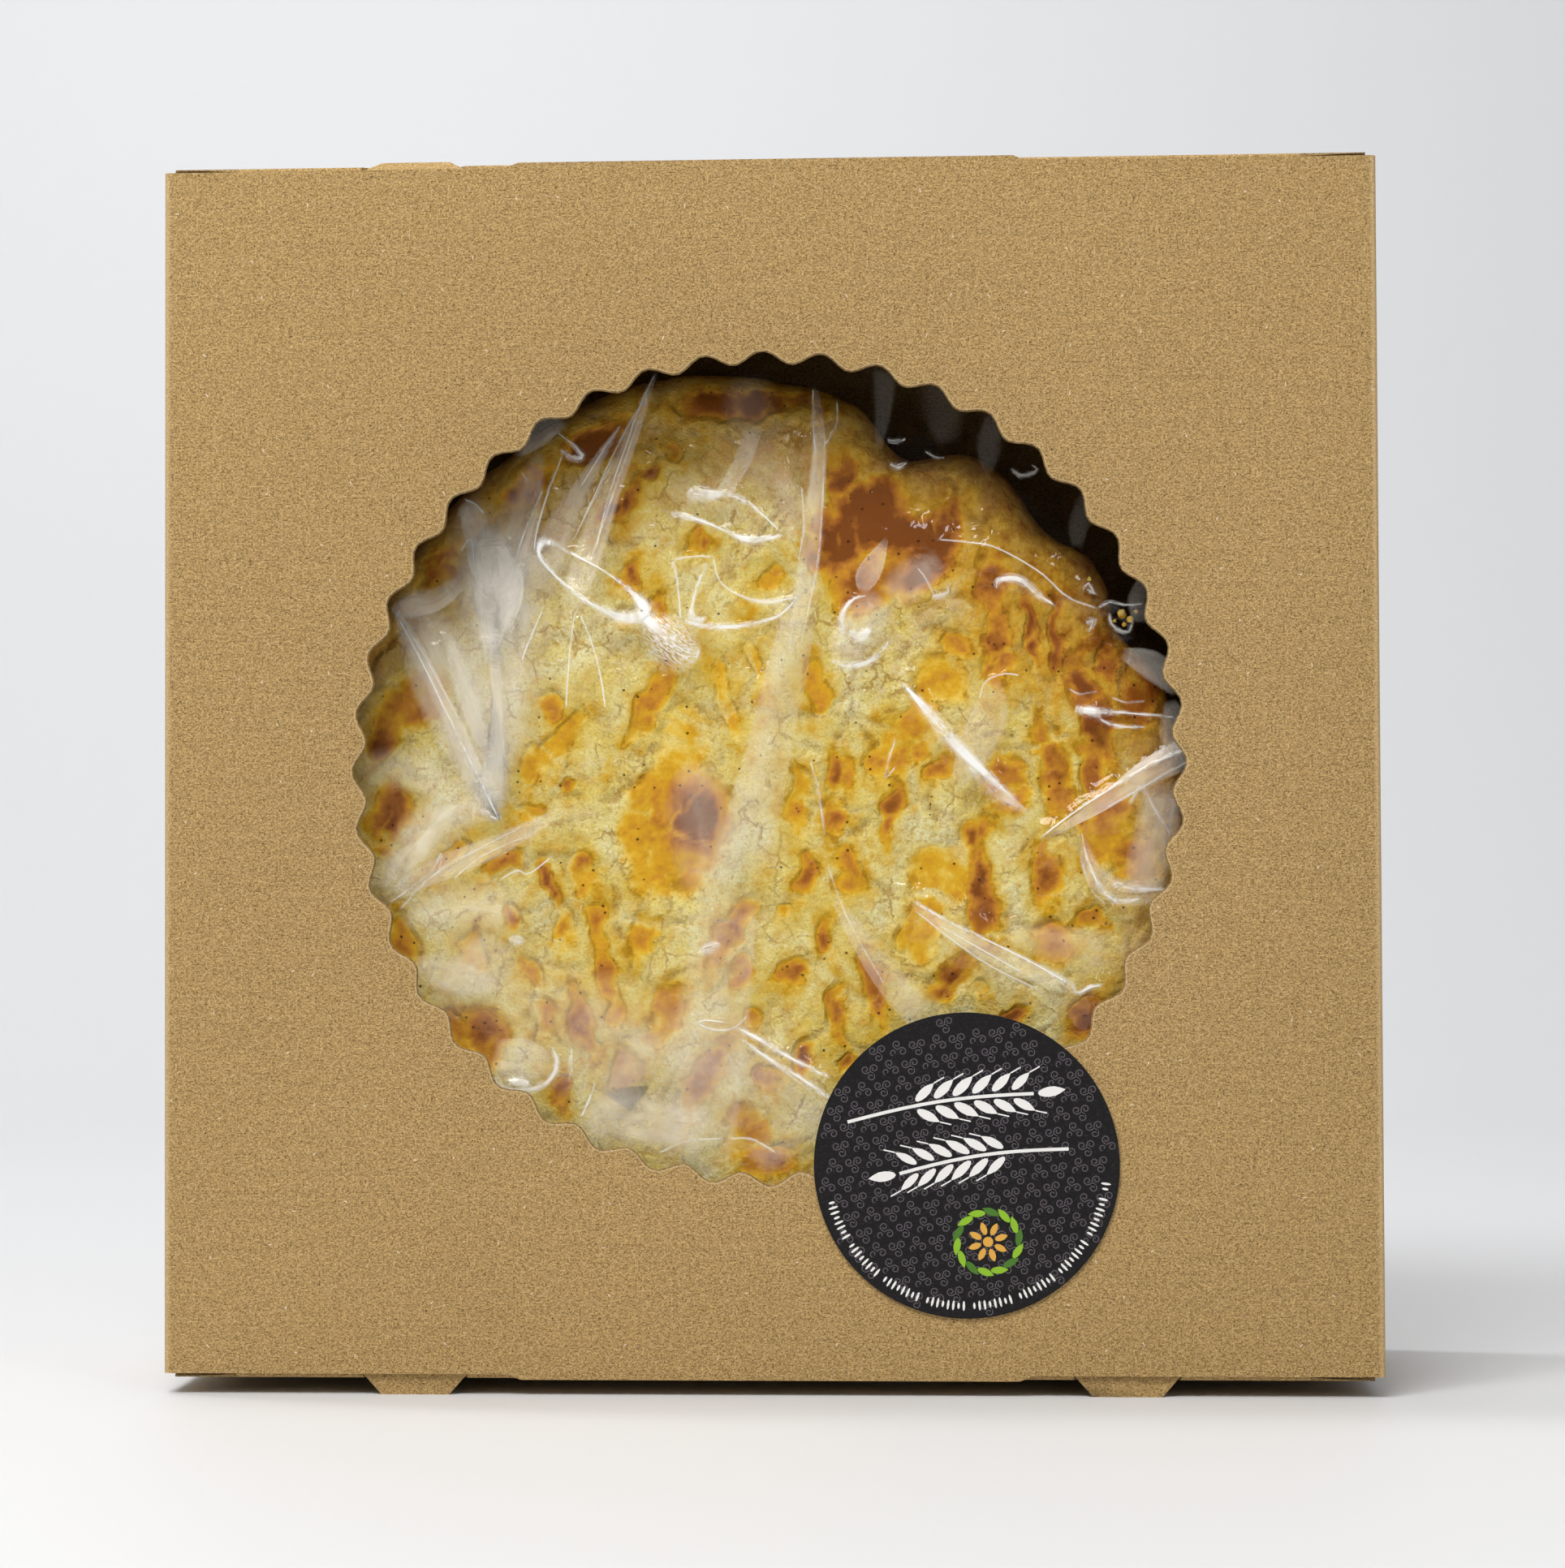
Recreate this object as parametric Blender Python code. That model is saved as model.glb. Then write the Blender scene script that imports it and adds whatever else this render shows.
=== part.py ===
"""A breton butter cake in clear film, shut in a windowed kraft carton.

The carton stands upright on small lugs, with its window towards -Y.
Metres, +Z up, with the origin on the floor under the carton's middle.
"""

import math

import bmesh
import bpy
from mathutils import Matrix, Vector, noise

MM = 0.001

# Carton: a glued tube of four panels, shut at each end by a hinged flap that tucks in at the front
PANEL_WIDTH = 203.2 * MM
PANEL_HEIGHT = 202.0 * MM
CARTON_DEPTH = 63.5 * MM
BOARD = 0.5 * MM
GAP = 0.3 * MM  # clearance between sheets that touch
FOLD_RADIUS = 0.8 * MM  # outside of a scored fold
FOLD_STEPS = 4

# End flaps
FLAP_HALF_WIDTH = 100.0 * MM
TUCK_HALF_ROOT = 90.0 * MM
TUCK_HALF_TIP = 79.0 * MM
TUCK_LENGTH = 18.0 * MM
CORNER_CLEARANCE = 1.0 * MM  # how far the trimmed corner clears the tuck's fold and tip
HINGE_OVERLAP = 3.0 * MM
TONGUE_HALF_WIDTH = 41.5 * MM
TONGUE_RISE = 0.9 * MM
TONGUE_RAMP = 2.2 * MM
DUST_FLAP_LENGTH = 48.0 * MM
DUST_FLAP_INSET = 2.5 * MM
DUST_FLAP_SLANT = 10.0 * MM

# Lugs: cut out of the end flaps at their folds and left in the plane of the panel
LUG_CENTRE = 59.3 * MM
LUG_HALF_ROOT = 8.8 * MM
LUG_HALF_TIP = 5.7 * MM
LUG_LENGTH = 3.5 * MM
LUG_OVERLAP = 1.0 * MM  # how far its root runs into the panel or tuck
TOP_LUG_LEAN = math.radians(60)

# Window: a circle whose edge runs in even waves
WINDOW_RADIUS = 68.5 * MM
WAVE_DEPTH = 1.1 * MM
WAVES = 44
WAVE_PHASE = math.radians(17.3)
POINTS_PER_WAVE = 8

# Round label, stuck to the front panel over the window's lower right edge
LABEL_RADIUS = 25.3 * MM
LABEL_THICKNESS = 0.2 * MM
LABEL_CENTRE_X = 32.9 * MM
LABEL_CENTRE_HEIGHT = 34.8 * MM  # above the panel's lower edge
LABEL_SEGMENTS = 96

# Heights and depths that follow from those
LOWER_EDGE = LUG_LENGTH
UPPER_EDGE = LOWER_EDGE + PANEL_HEIGHT
LABEL_STANDOFF = GAP + LABEL_THICKNESS
FRONT = -CARTON_DEPTH / 2 + LABEL_STANDOFF / 2
BACK = FRONT + CARTON_DEPTH
TUCK_FRONT = FRONT + BOARD + GAP
WINDOW_HEIGHT = LOWER_EDGE + PANEL_HEIGHT / 2

# Cake: a flat round with a rounded rim, its top towards the window and leaning back a little
CAKE_RADIUS = 75.0 * MM
CAKE_THICKNESS = 26.5 * MM
CAKE_LEAN = math.radians(5)
CAKE_FACE = Vector((-4.6 * MM, FRONT + 9.8 * MM, 95.6 * MM))
CAKE_RINGS = 22
OUTLINE_WOBBLE = 0.012  # of the radius; a finer wobble adds half of it
RIM_ROUNDING = 7.0 * MM
RIM_REACH = 0.98  # how far round its quarter circle the rim goes, squared
SIDE_BUMPS = 0.5 * MM
SIDE_ROWS = (  # depth as a part of the thickness, and how far it is drawn in
    (0.42, 0.3 * MM),
    (0.68, 1.2 * MM),
    (0.92, 2.4 * MM),
    (1.0, 3.75 * MM),
)
CRAG_DEPTH = 0.9 * MM
CRAG_SIZE = 9.0 * MM
CRACK_DEPTH = 0.7 * MM
CRACK_SIZE = 13.0 * MM
CRACK_WIDTH = 0.25  # in units of the crack size
MARK_DEPTH = 1.1 * MM

# Glazed hollows pressed into the cake's top: across, up, length, width (mm) and angle (degrees)
MARKS = (
    (-10, 1, 23, 17, 70),
    (-9, 15, 14, 8, 95),
    (23, 49, 19, 15, 120),
    (44, 30, 20, 9, 90),
    (30, 16, 26, 11, 52),
    (-2, 21, 16, 6, 100),
    (17, 1, 13, 6, 80),
    (26, 0, 15, 7, 65),
    (42, -14, 18, 8, 80),
    (-30, -18, 17, 7, 102),
    (-23, -27, 21, 6, 105),
    (-12, -31, 13, 7, 70),
    (-37, -35, 12, 9, 40),
    (16, -31, 15, 6, 95),
    (35, -28, 16, 9, 150),
    (-56, 16, 17, 9, 75),
    (-17, 41, 12, 7, 60),
    (-40, -8, 18, 6, 25),
    (55, 17, 22, 7, 95),
)

# Film: a loose skin over the cake's top and side, bunched under it, turned in at the back
FILM_THICKNESS = 0.3 * MM
FILM_OFF_TOP = 2.2 * MM
FILM_DROP_AT_RIM = 0.8 * MM
FILM_TOP_RADIUS = CAKE_RADIUS - 2.0 * MM
FILM_SEGMENTS = 80
FILM_RINGS = 12
FILM_SIDE_ROWS = (  # distance outside the cake's radius, share of the slack, and depth
    (2.0 * MM, 0.25, 1.0 * MM),
    (3.0 * MM, 0.7, 5.0 * MM),
    (3.2 * MM, 1.0, 12.0 * MM),
    (3.2 * MM, 0.9, 20.0 * MM),
    (1.8 * MM, 0.5, 27.4 * MM),
    (-12.0 * MM, 0.0, 27.6 * MM),
)
SLACK = 1.5 * MM
RIPPLE_HEIGHT = 0.5 * MM
RIPPLE_SIZE = 16.0 * MM
BUNCH_REACH = 11.0 * MM
BUNCH_SPREAD = math.radians(38)

# Standing folds in the film over the cake's top: both ends (across, up), half width and height (mm)
FOLDS = (
    ((12, 73), (9, 36), 6, 0.9),
    ((9, 36), (2, -6), 6, 0.9),
    ((2, -6), (-7, -58), 8, 1.0),
    ((-58, 37), (-40, 0), 6, 1.2),
    ((-40, 0), (-34, 56), 7, 1.1),
    ((-15, 74), (-28, 30), 6, 1.2),
    ((52, -3), (74, 11), 6, 1.0),
    ((29, -14), (60, -30), 7, 1.1),
    ((-6, -34), (17, -47), 6, 1.0),
    ((31, 48), (66, 36), 6, 0.8),
    ((29, 22), (47, 3), 6, 0.9),
    ((-44, -44), (-20, -62), 7, 1.0),
)


def clear_scene():
    """Starts from nothing, whatever the scene held."""
    for thing in list(bpy.data.objects):
        bpy.data.objects.remove(thing, do_unlink=True)


def add_material(name, colour, roughness, metallic=0.0):
    """A Principled surface of one colour."""
    material = bpy.data.materials.new(name)
    material.use_nodes = True
    shader = material.node_tree.nodes["Principled BSDF"]
    shader.inputs["Base Color"].default_value = (*colour, 1)
    shader.inputs["Roughness"].default_value = roughness
    shader.inputs["Metallic"].default_value = metallic
    material.diffuse_color = (*colour, 1)
    return material


def add_object(name, mesh_maker, material=None):
    """Links a new object holding the closed mesh that mesh_maker gives, its faces turned outwards."""
    mesh_maker.normal_update()
    bmesh.ops.recalc_face_normals(mesh_maker, faces=mesh_maker.faces)
    mesh = bpy.data.meshes.new(name)
    mesh_maker.to_mesh(mesh)
    mesh_maker.free()
    thing = bpy.data.objects.new(name, mesh)
    bpy.context.scene.collection.objects.link(thing)
    if material:
        mesh.materials.append(material)
    return thing


def prism(name, outline, place, low, high):
    """Extrudes a flat outline of (a, b) pairs from low to high. place(a, b, t) gives each corner."""
    shape = bmesh.new()
    near = [shape.verts.new(place(a, b, low)) for a, b in outline]
    far = [shape.verts.new(place(a, b, high)) for a, b in outline]
    shape.faces.new(near)
    shape.faces.new(far)
    count = len(outline)
    for i in range(count):
        j = (i + 1) % count
        shape.faces.new((near[i], near[j], far[j], far[i]))
    return add_object(name, shape)


def along_y(a, b, t):
    """For outlines drawn in the front view: a across, b up, t from front to back."""
    return (a, t, b)


def along_z(a, b, t):
    """For outlines drawn in the top view: a across, b from front to back, t up."""
    return (a, b, t)


def along_x(a, b, t):
    """For outlines drawn in the side view: a from front to back, b up, t across."""
    return (t, a, b)


def combine(target, tools, operation):
    """Cuts tools out of target or fuses them to it, then removes them."""
    group = bpy.data.collections.new("tools")
    bpy.context.scene.collection.children.link(group)
    for tool in tools:
        group.objects.link(tool)
    step = target.modifiers.new(operation.lower(), "BOOLEAN")
    step.operation = operation
    step.operand_type = "COLLECTION"
    step.collection = group
    result = bpy.data.meshes.new_from_object(
        target.evaluated_get(bpy.context.evaluated_depsgraph_get())
    )
    target.modifiers.remove(step)
    target.data = result
    for tool in tools:
        bpy.data.objects.remove(tool, do_unlink=True)
    bpy.data.collections.remove(group)


def arc(centre, radius, start, end, steps):
    """Points on an arc, its ends included. Angles are in degrees, anticlockwise from the first axis."""
    points = []
    for i in range(steps + 1):
        angle = math.radians(start + (end - start) * i / steps)
        points.append((centre[0] + radius * math.cos(angle), centre[1] + radius * math.sin(angle)))
    return points


def round_rectangle(half_width, front, back, radius):
    """A rectangle in the top view whose four corners are scored folds."""
    corners = (
        (half_width - radius, front + radius, -90),
        (half_width - radius, back - radius, 0),
        (-half_width + radius, back - radius, 90),
        (-half_width + radius, front + radius, 180),
    )
    outline = []
    for x, y, start in corners:
        outline += arc((x, y), radius, start, start + 90, FOLD_STEPS)
    return outline


def build_tube():
    """The four panels, as one wall folded round, open at both ends."""
    outer = round_rectangle(PANEL_WIDTH / 2, FRONT, BACK, FOLD_RADIUS)
    inner = round_rectangle(
        PANEL_WIDTH / 2 - BOARD, FRONT + BOARD, BACK - BOARD, FOLD_RADIUS - BOARD
    )
    shape = bmesh.new()
    loops = [
        [shape.verts.new((x, y, z)) for x, y in outline]
        for outline, z in (
            (outer, LOWER_EDGE),
            (outer, UPPER_EDGE),
            (inner, UPPER_EDGE),
            (inner, LOWER_EDGE),
        )
    ]
    count = len(outer)
    for lower, upper in zip(loops, loops[1:] + loops[:1]):
        for i in range(count):
            j = (i + 1) % count
            shape.faces.new((lower[i], lower[j], upper[j], upper[i]))
    return add_object("carton", shape)


def window_outline():
    """The window's waved edge, seen from the front."""
    count = WAVES * POINTS_PER_WAVE
    outline = []
    for i in range(count):
        angle = math.tau * i / count
        radius = WINDOW_RADIUS + WAVE_DEPTH * math.cos(WAVES * angle - WAVE_PHASE)
        outline.append((radius * math.cos(angle), WINDOW_HEIGHT + radius * math.sin(angle)))
    return outline


class CartonEnd:
    """The lower or upper end. Heights there are given as a reach outwards from the panels' edges."""

    def __init__(self, name, edge, outwards):
        self.name = name
        self.edge = edge
        self.outwards = outwards

    def height(self, reach):
        return self.edge + self.outwards * reach

    def flap_profile(self):
        """The end flap from the side: hinged at the back, over the end, then folded in at the front."""
        hinge = BACK - FOLD_RADIUS
        fold = TUCK_FRONT + FOLD_RADIUS
        inside = FOLD_RADIUS - BOARD
        points = [(BACK, -HINGE_OVERLAP)]
        points += arc((hinge, 0), FOLD_RADIUS, 0, 90, FOLD_STEPS)
        points += arc((fold, 0), FOLD_RADIUS, 90, 180, FOLD_STEPS)
        points += [(TUCK_FRONT, -TUCK_LENGTH), (TUCK_FRONT + BOARD, -TUCK_LENGTH)]
        points += arc((fold, 0), inside, 180, 90, FOLD_STEPS)
        points += arc((hinge, 0), inside, 90, 0, FOLD_STEPS)
        points += [(BACK - BOARD, -HINGE_OVERLAP)]
        return [(y, self.height(reach)) for y, reach in points]

    def corner_cut(self, side):
        """Takes the tuck away beside its root, so that the flap's front edge shows at the corner."""
        outside = self.height(CORNER_CLEARANCE)
        beyond_tip = self.height(-TUCK_LENGTH - CORNER_CLEARANCE)
        outline = [
            (TUCK_HALF_ROOT - CORNER_CLEARANCE, outside),
            (PANEL_WIDTH / 2, outside),
            (PANEL_WIDTH / 2, beyond_tip),
            (TUCK_HALF_TIP, beyond_tip),
            (TUCK_HALF_ROOT, self.height(-CORNER_CLEARANCE)),
        ]
        outline = [(side * x, z) for x, z in outline]
        return prism("cut", outline, along_y, FRONT, TUCK_FRONT + FOLD_RADIUS)

    def lug_cut(self, centre, plane, inwards):
        """The opening that a lug leaves in the end flap. inwards is the way from the fold into it."""
        fold = plane + inwards * FOLD_RADIUS
        outline = [
            (centre - LUG_HALF_ROOT, plane - inwards * GAP),
            (centre + LUG_HALF_ROOT, plane - inwards * GAP),
            (centre + LUG_HALF_ROOT, fold),
            (centre + LUG_HALF_TIP, plane + inwards * LUG_LENGTH),
            (centre - LUG_HALF_TIP, plane + inwards * LUG_LENGTH),
            (centre - LUG_HALF_ROOT, fold),
        ]
        return prism("cut", outline, along_z, self.height(0), self.height(2 * FOLD_RADIUS))

    def lug(self, centre, low, high, lean=0.0):
        """A lug from its root in the panel's plane out to its tip, bent back by lean."""
        root = self.height(0)
        shape = bmesh.new()
        rows = []
        for half, reach in (
            (LUG_HALF_ROOT, -LUG_OVERLAP),
            (LUG_HALF_ROOT, 0),
            (LUG_HALF_TIP, LUG_LENGTH),
        ):
            row = []
            for x, y in ((-half, low), (half, low), (half, high), (-half, high)):
                point = Vector((centre + x, y, self.height(reach)))
                if reach > 0:
                    pivot = Vector((0, (low + high) / 2, root))
                    point = pivot + Matrix.Rotation(-self.outwards * lean, 3, "X") @ (point - pivot)
                row.append(shape.verts.new(point))
            rows.append(row)
        for lower, upper in zip(rows, rows[1:]):
            for i in range(4):
                j = (i + 1) % 4
                shape.faces.new((lower[i], lower[j], upper[j], upper[i]))
        shape.faces.new(rows[0])
        shape.faces.new(rows[-1])
        return add_object("lug", shape)

    def flap(self, lug_cuts):
        """The end flap with its tuck, trimmed at the corners and cut where lugs stand out of it."""
        flap = prism(
            self.name, self.flap_profile(), along_x, -FLAP_HALF_WIDTH, FLAP_HALF_WIDTH
        )
        combine(flap, [self.corner_cut(-1), self.corner_cut(1)] + lug_cuts, "DIFFERENCE")
        return flap

    def tongue(self):
        """The low tongue in the middle of the front panel's edge, which covers the tuck's fold."""
        low, high = self.height(-2 * TONGUE_RAMP), self.height(TONGUE_RISE)
        outline = [
            (-TONGUE_HALF_WIDTH - TONGUE_RAMP, low),
            (TONGUE_HALF_WIDTH + TONGUE_RAMP, low),
            (TONGUE_HALF_WIDTH + TONGUE_RAMP, self.height(0)),
            (TONGUE_HALF_WIDTH, high),
            (-TONGUE_HALF_WIDTH, high),
            (-TONGUE_HALF_WIDTH - TONGUE_RAMP, self.height(0)),
        ]
        return prism("tongue", outline, along_y, FRONT, FRONT + BOARD)

    def dust_flap(self, side):
        """The flap that folds in from a side panel under the end flap."""
        wall = side * (PANEL_WIDTH / 2 - BOARD / 2)
        tip = side * (PANEL_WIDTH / 2 - DUST_FLAP_LENGTH)
        front, back = FRONT + DUST_FLAP_INSET, BACK - DUST_FLAP_INSET
        outline = [
            (wall, front),
            (tip, front + DUST_FLAP_SLANT),
            (tip, back - DUST_FLAP_SLANT),
            (wall, back),
        ]
        return prism("dust_flap", outline, along_z, self.height(-BOARD), self.height(0))


def build_carton(material):
    """Folds the whole carton into one solid, then cuts the window."""
    lower = CartonEnd("lower_end", LOWER_EDGE, -1)
    upper = CartonEnd("upper_end", UPPER_EDGE, 1)
    pieces = []
    cuts = []
    for side in (-1, 1):
        centre = side * LUG_CENTRE
        cuts.append(lower.lug_cut(centre, TUCK_FRONT, 1))
        cuts.append(lower.lug_cut(centre, BACK, -1))
        pieces.append(lower.lug(centre, TUCK_FRONT, TUCK_FRONT + BOARD))
        pieces.append(lower.lug(centre, BACK - BOARD, BACK))
    pieces.append(lower.flap(cuts))
    pieces.append(upper.lug(-LUG_CENTRE, TUCK_FRONT, TUCK_FRONT + BOARD, TOP_LUG_LEAN))
    pieces.append(upper.flap([upper.lug_cut(-LUG_CENTRE, TUCK_FRONT, 1)]))
    for end in (lower, upper):
        pieces.append(end.tongue())
        pieces += [end.dust_flap(-1), end.dust_flap(1)]
    carton = build_tube()
    combine(carton, pieces, "UNION")
    window = prism("window", window_outline(), along_y, FRONT - BOARD, TUCK_FRONT)
    combine(carton, [window], "DIFFERENCE")
    carton.data.materials.clear()
    carton.data.materials.append(material)
    return carton


def from_cake(across, up, out):
    """Turns a place on the cake (across, up its face, out towards the window) into the pack's frame."""
    upwards = Vector((0, math.sin(CAKE_LEAN), math.cos(CAKE_LEAN)))
    outwards = Vector((0, -math.cos(CAKE_LEAN), math.sin(CAKE_LEAN)))
    return CAKE_FACE + Vector((across, 0, 0)) + up * upwards + out * outwards


def smooth(value):
    """Eases 0 to 1 with flat ends."""
    value = min(max(value, 0.0), 1.0)
    return value * value * (3 - 2 * value)


def mark_strength(across, up):
    """How far inside the nearest glazed hollow a place is, from 0 at its edge to 1."""
    strength = 0.0
    for x, z, length, width, angle in MARKS:
        turn = math.radians(angle)
        dx, dz = across - x * MM, up - z * MM
        along = (dx * math.cos(turn) + dz * math.sin(turn)) / (length * MM / 2)
        aside = (-dx * math.sin(turn) + dz * math.cos(turn)) / (width * MM / 2)
        strength = max(strength, smooth(1.25 - math.hypot(along, aside)))
    return strength


def crumb(across, up):
    """Height of the cake's crackled top, without the rounding at its rim."""
    place = Vector((across, up, 0))
    crags = noise.noise(place / CRAG_SIZE) + 0.5 * noise.noise(place * 2.3 / CRAG_SIZE)
    nearest = noise.voronoi(place / CRACK_SIZE)[0]
    crack = 1 - smooth((nearest[1] - nearest[0]) / CRACK_WIDTH)
    inside = mark_strength(across, up)
    return CRAG_DEPTH * crags - CRACK_DEPTH * crack * (1 - inside) - MARK_DEPTH * inside


def rim_radius(angle):
    """The cake's uneven outline."""
    around = Vector((math.cos(angle), math.sin(angle), 0))
    wobble = noise.noise(1.5 * around) + 0.5 * noise.noise(5 * around)
    return CAKE_RADIUS * (1 + OUTLINE_WOBBLE * wobble)


def build_cake(material):
    """The cake: rings of triangles over the craggy top, a rounded rim, a side and a flat base."""
    shape = bmesh.new()
    rings = [[shape.verts.new(from_cake(0, 0, crumb(0, 0)))]]
    for ring in range(1, CAKE_RINGS + 1):
        row = []
        for i in range(6 * ring):
            angle = math.tau * i / (6 * ring)
            radius = rim_radius(angle) * ring / CAKE_RINGS
            edge = max(0.0, radius - rim_radius(angle) + RIM_ROUNDING) / RIM_ROUNDING
            drop = RIM_ROUNDING * (1 - math.sqrt(1 - RIM_REACH * min(edge, 1.0) ** 2))
            across, up = radius * math.cos(angle), radius * math.sin(angle)
            row.append(shape.verts.new(from_cake(across, up, crumb(across, up) - drop)))
        rings.append(row)
    for inner, outer in zip(rings, rings[1:]):
        stitch_rings(shape, inner, outer)
    count = 6 * CAKE_RINGS
    previous = rings[-1]
    for depth, drawn_in in SIDE_ROWS:
        row = []
        for i in range(count):
            angle = math.tau * i / count
            place = Vector((6 * math.cos(angle), 6 * math.sin(angle), 5 * depth))
            radius = rim_radius(angle) - drawn_in + SIDE_BUMPS * noise.noise(place)
            across, up = radius * math.cos(angle), radius * math.sin(angle)
            row.append(shape.verts.new(from_cake(across, up, -depth * CAKE_THICKNESS)))
        for i in range(count):
            j = (i + 1) % count
            shape.faces.new((previous[i], previous[j], row[j], row[i]))
        previous = row
    shape.faces.new(previous)
    bmesh.ops.triangulate(shape, faces=shape.faces)
    return add_object("cake", shape, material)


def stitch_rings(shape, inner, outer):
    """Joins two rings of a disc by triangles, where the outer one has six more corners."""
    if len(inner) == 1:
        for i in range(len(outer)):
            shape.faces.new((inner[0], outer[i], outer[(i + 1) % len(outer)]))
        return
    i = j = 0
    while i < len(inner) or j < len(outer):
        a, b = inner[i % len(inner)], outer[j % len(outer)]
        if (j + 1) * len(inner) <= (i + 1) * len(outer):
            shape.faces.new((a, b, outer[(j + 1) % len(outer)]))
            j += 1
        else:
            shape.faces.new((a, b, inner[(i + 1) % len(inner)]))
            i += 1


def fold_height(across, up, start, end, half_width, height):
    """One standing fold: a low ridge along a line, fading out past both ends."""
    start, end, place = Vector(start) * MM, Vector(end) * MM, Vector((across, up))
    run = end - start
    part = min(max((place - start).dot(run) / run.length_squared, 0.0), 1.0)
    return height * MM * smooth(1 - (place - start - part * run).length / (half_width * MM))


def film_lift(across, up):
    """How far the film's folds and ripples raise it over the cake's top."""
    ripple = noise.noise(Vector((across, up, 4 * RIPPLE_SIZE)) / RIPPLE_SIZE)
    return RIPPLE_HEIGHT * abs(ripple) + max(fold_height(across, up, *fold) for fold in FOLDS)


def film_slack(angle):
    """How far the film stands off the cake's side: a little all round, and bunched underneath."""
    around = Vector((math.cos(angle), math.sin(angle), 3))
    down = math.remainder(angle + math.pi / 2, math.tau)
    bunch = math.exp(-((down / BUNCH_SPREAD) ** 2))
    return SLACK * (1 + noise.noise(6 * around)) + BUNCH_REACH * bunch


def build_film(material):
    """The film as a sheet over the cake's top, side and the edge of its base, given its thickness."""
    floor = LOWER_EDGE + BOARD + GAP + FILM_THICKNESS
    shape = bmesh.new()
    centre = shape.verts.new(from_cake(0, 0, FILM_OFF_TOP + film_lift(0, 0)))
    rows = []
    for ring in range(1, FILM_RINGS + 1):
        part = ring / FILM_RINGS
        rows.append((part * FILM_TOP_RADIUS, 0.0, FILM_OFF_TOP - FILM_DROP_AT_RIM * part**6))
    for off, slack, depth in FILM_SIDE_ROWS:
        rows.append((CAKE_RADIUS + off, slack, -depth))
    loops = []
    for radius, slack, out in rows:
        loop = []
        for i in range(FILM_SEGMENTS):
            angle = math.tau * i / FILM_SEGMENTS
            reach = radius + slack * film_slack(angle)
            across, up = reach * math.cos(angle), reach * math.sin(angle)
            lift = film_lift(across, up) if out > 0 else 0.0
            place = from_cake(across, up, out + lift)
            place.z = max(place.z, floor)
            loop.append(shape.verts.new(place))
        loops.append(loop)
    for i in range(FILM_SEGMENTS):
        shape.faces.new((centre, loops[0][i], loops[0][(i + 1) % FILM_SEGMENTS]))
    for inner, outer in zip(loops, loops[1:]):
        for i in range(FILM_SEGMENTS):
            j = (i + 1) % FILM_SEGMENTS
            shape.faces.new((inner[i], outer[i], outer[j], inner[j]))
    bmesh.ops.triangulate(shape, faces=shape.faces)
    film = add_object("film", shape, material)
    skin = film.modifiers.new("skin", "SOLIDIFY")
    skin.thickness = FILM_THICKNESS
    skin.offset = -1
    return film


def build_label(material):
    """The round label, just clear of the panel that carries it."""
    height = LOWER_EDGE + LABEL_CENTRE_HEIGHT
    outline = arc((LABEL_CENTRE_X, height), LABEL_RADIUS, 0, 360, LABEL_SEGMENTS)[:-1]
    label = prism("label", outline, along_y, FRONT - LABEL_STANDOFF, FRONT - GAP)
    label.data.materials.append(material)
    return label


def main():
    clear_scene()
    build_carton(add_material("kraft_board", (0.46, 0.31, 0.14), 0.9))
    build_cake(add_material("butter_cake", (0.78, 0.52, 0.17), 0.7))
    build_film(add_material("clear_film", (0.93, 0.90, 0.80), 0.15))
    build_label(add_material("label_paper", (0.02, 0.018, 0.018), 0.4))


main()
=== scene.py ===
import math
from functools import partial

import bpy
import numpy as np
from mathutils import Matrix, Vector, noise


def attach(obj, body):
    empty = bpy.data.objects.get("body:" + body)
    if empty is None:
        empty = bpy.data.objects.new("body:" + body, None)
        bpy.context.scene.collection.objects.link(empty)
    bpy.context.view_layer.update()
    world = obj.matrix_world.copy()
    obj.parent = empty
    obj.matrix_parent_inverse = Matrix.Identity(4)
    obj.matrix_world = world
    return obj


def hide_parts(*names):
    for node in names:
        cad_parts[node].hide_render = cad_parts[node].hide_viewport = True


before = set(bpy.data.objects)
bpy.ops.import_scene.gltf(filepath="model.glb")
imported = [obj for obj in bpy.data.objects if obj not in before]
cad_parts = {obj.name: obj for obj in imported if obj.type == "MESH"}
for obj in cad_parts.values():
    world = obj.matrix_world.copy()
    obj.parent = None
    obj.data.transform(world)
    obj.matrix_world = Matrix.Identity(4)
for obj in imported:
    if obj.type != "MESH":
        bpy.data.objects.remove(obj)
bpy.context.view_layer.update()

MM = 0.001

# Places and sizes of the solids, in metres
FRONT = -31.5 * MM
BOARD = 0.5 * MM
LOWER_EDGE = 3.5 * MM
UPPER_EDGE = 205.5 * MM
HALF_WIDTH = 101.6 * MM
BACK = 32.0 * MM
WINDOW_RADIUS = 68.5 * MM
WINDOW_HEIGHT = 104.5 * MM
LABEL_RADIUS = 25.3 * MM
LABEL_X = 32.9 * MM
LABEL_HEIGHT = 38.3 * MM
LABEL_BACK = -31.8 * MM
CAKE_FACE = Vector((-4.6, -21.7, 95.6)) * MM
CAKE_LEAN = math.radians(5)
CAKE_RADIUS = 75.0 * MM
CAKE_THICKNESS = 26.5 * MM
RIM_ROUNDING = 7.0 * MM
FILM_OFF_TOP = 2.2 * MM

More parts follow.
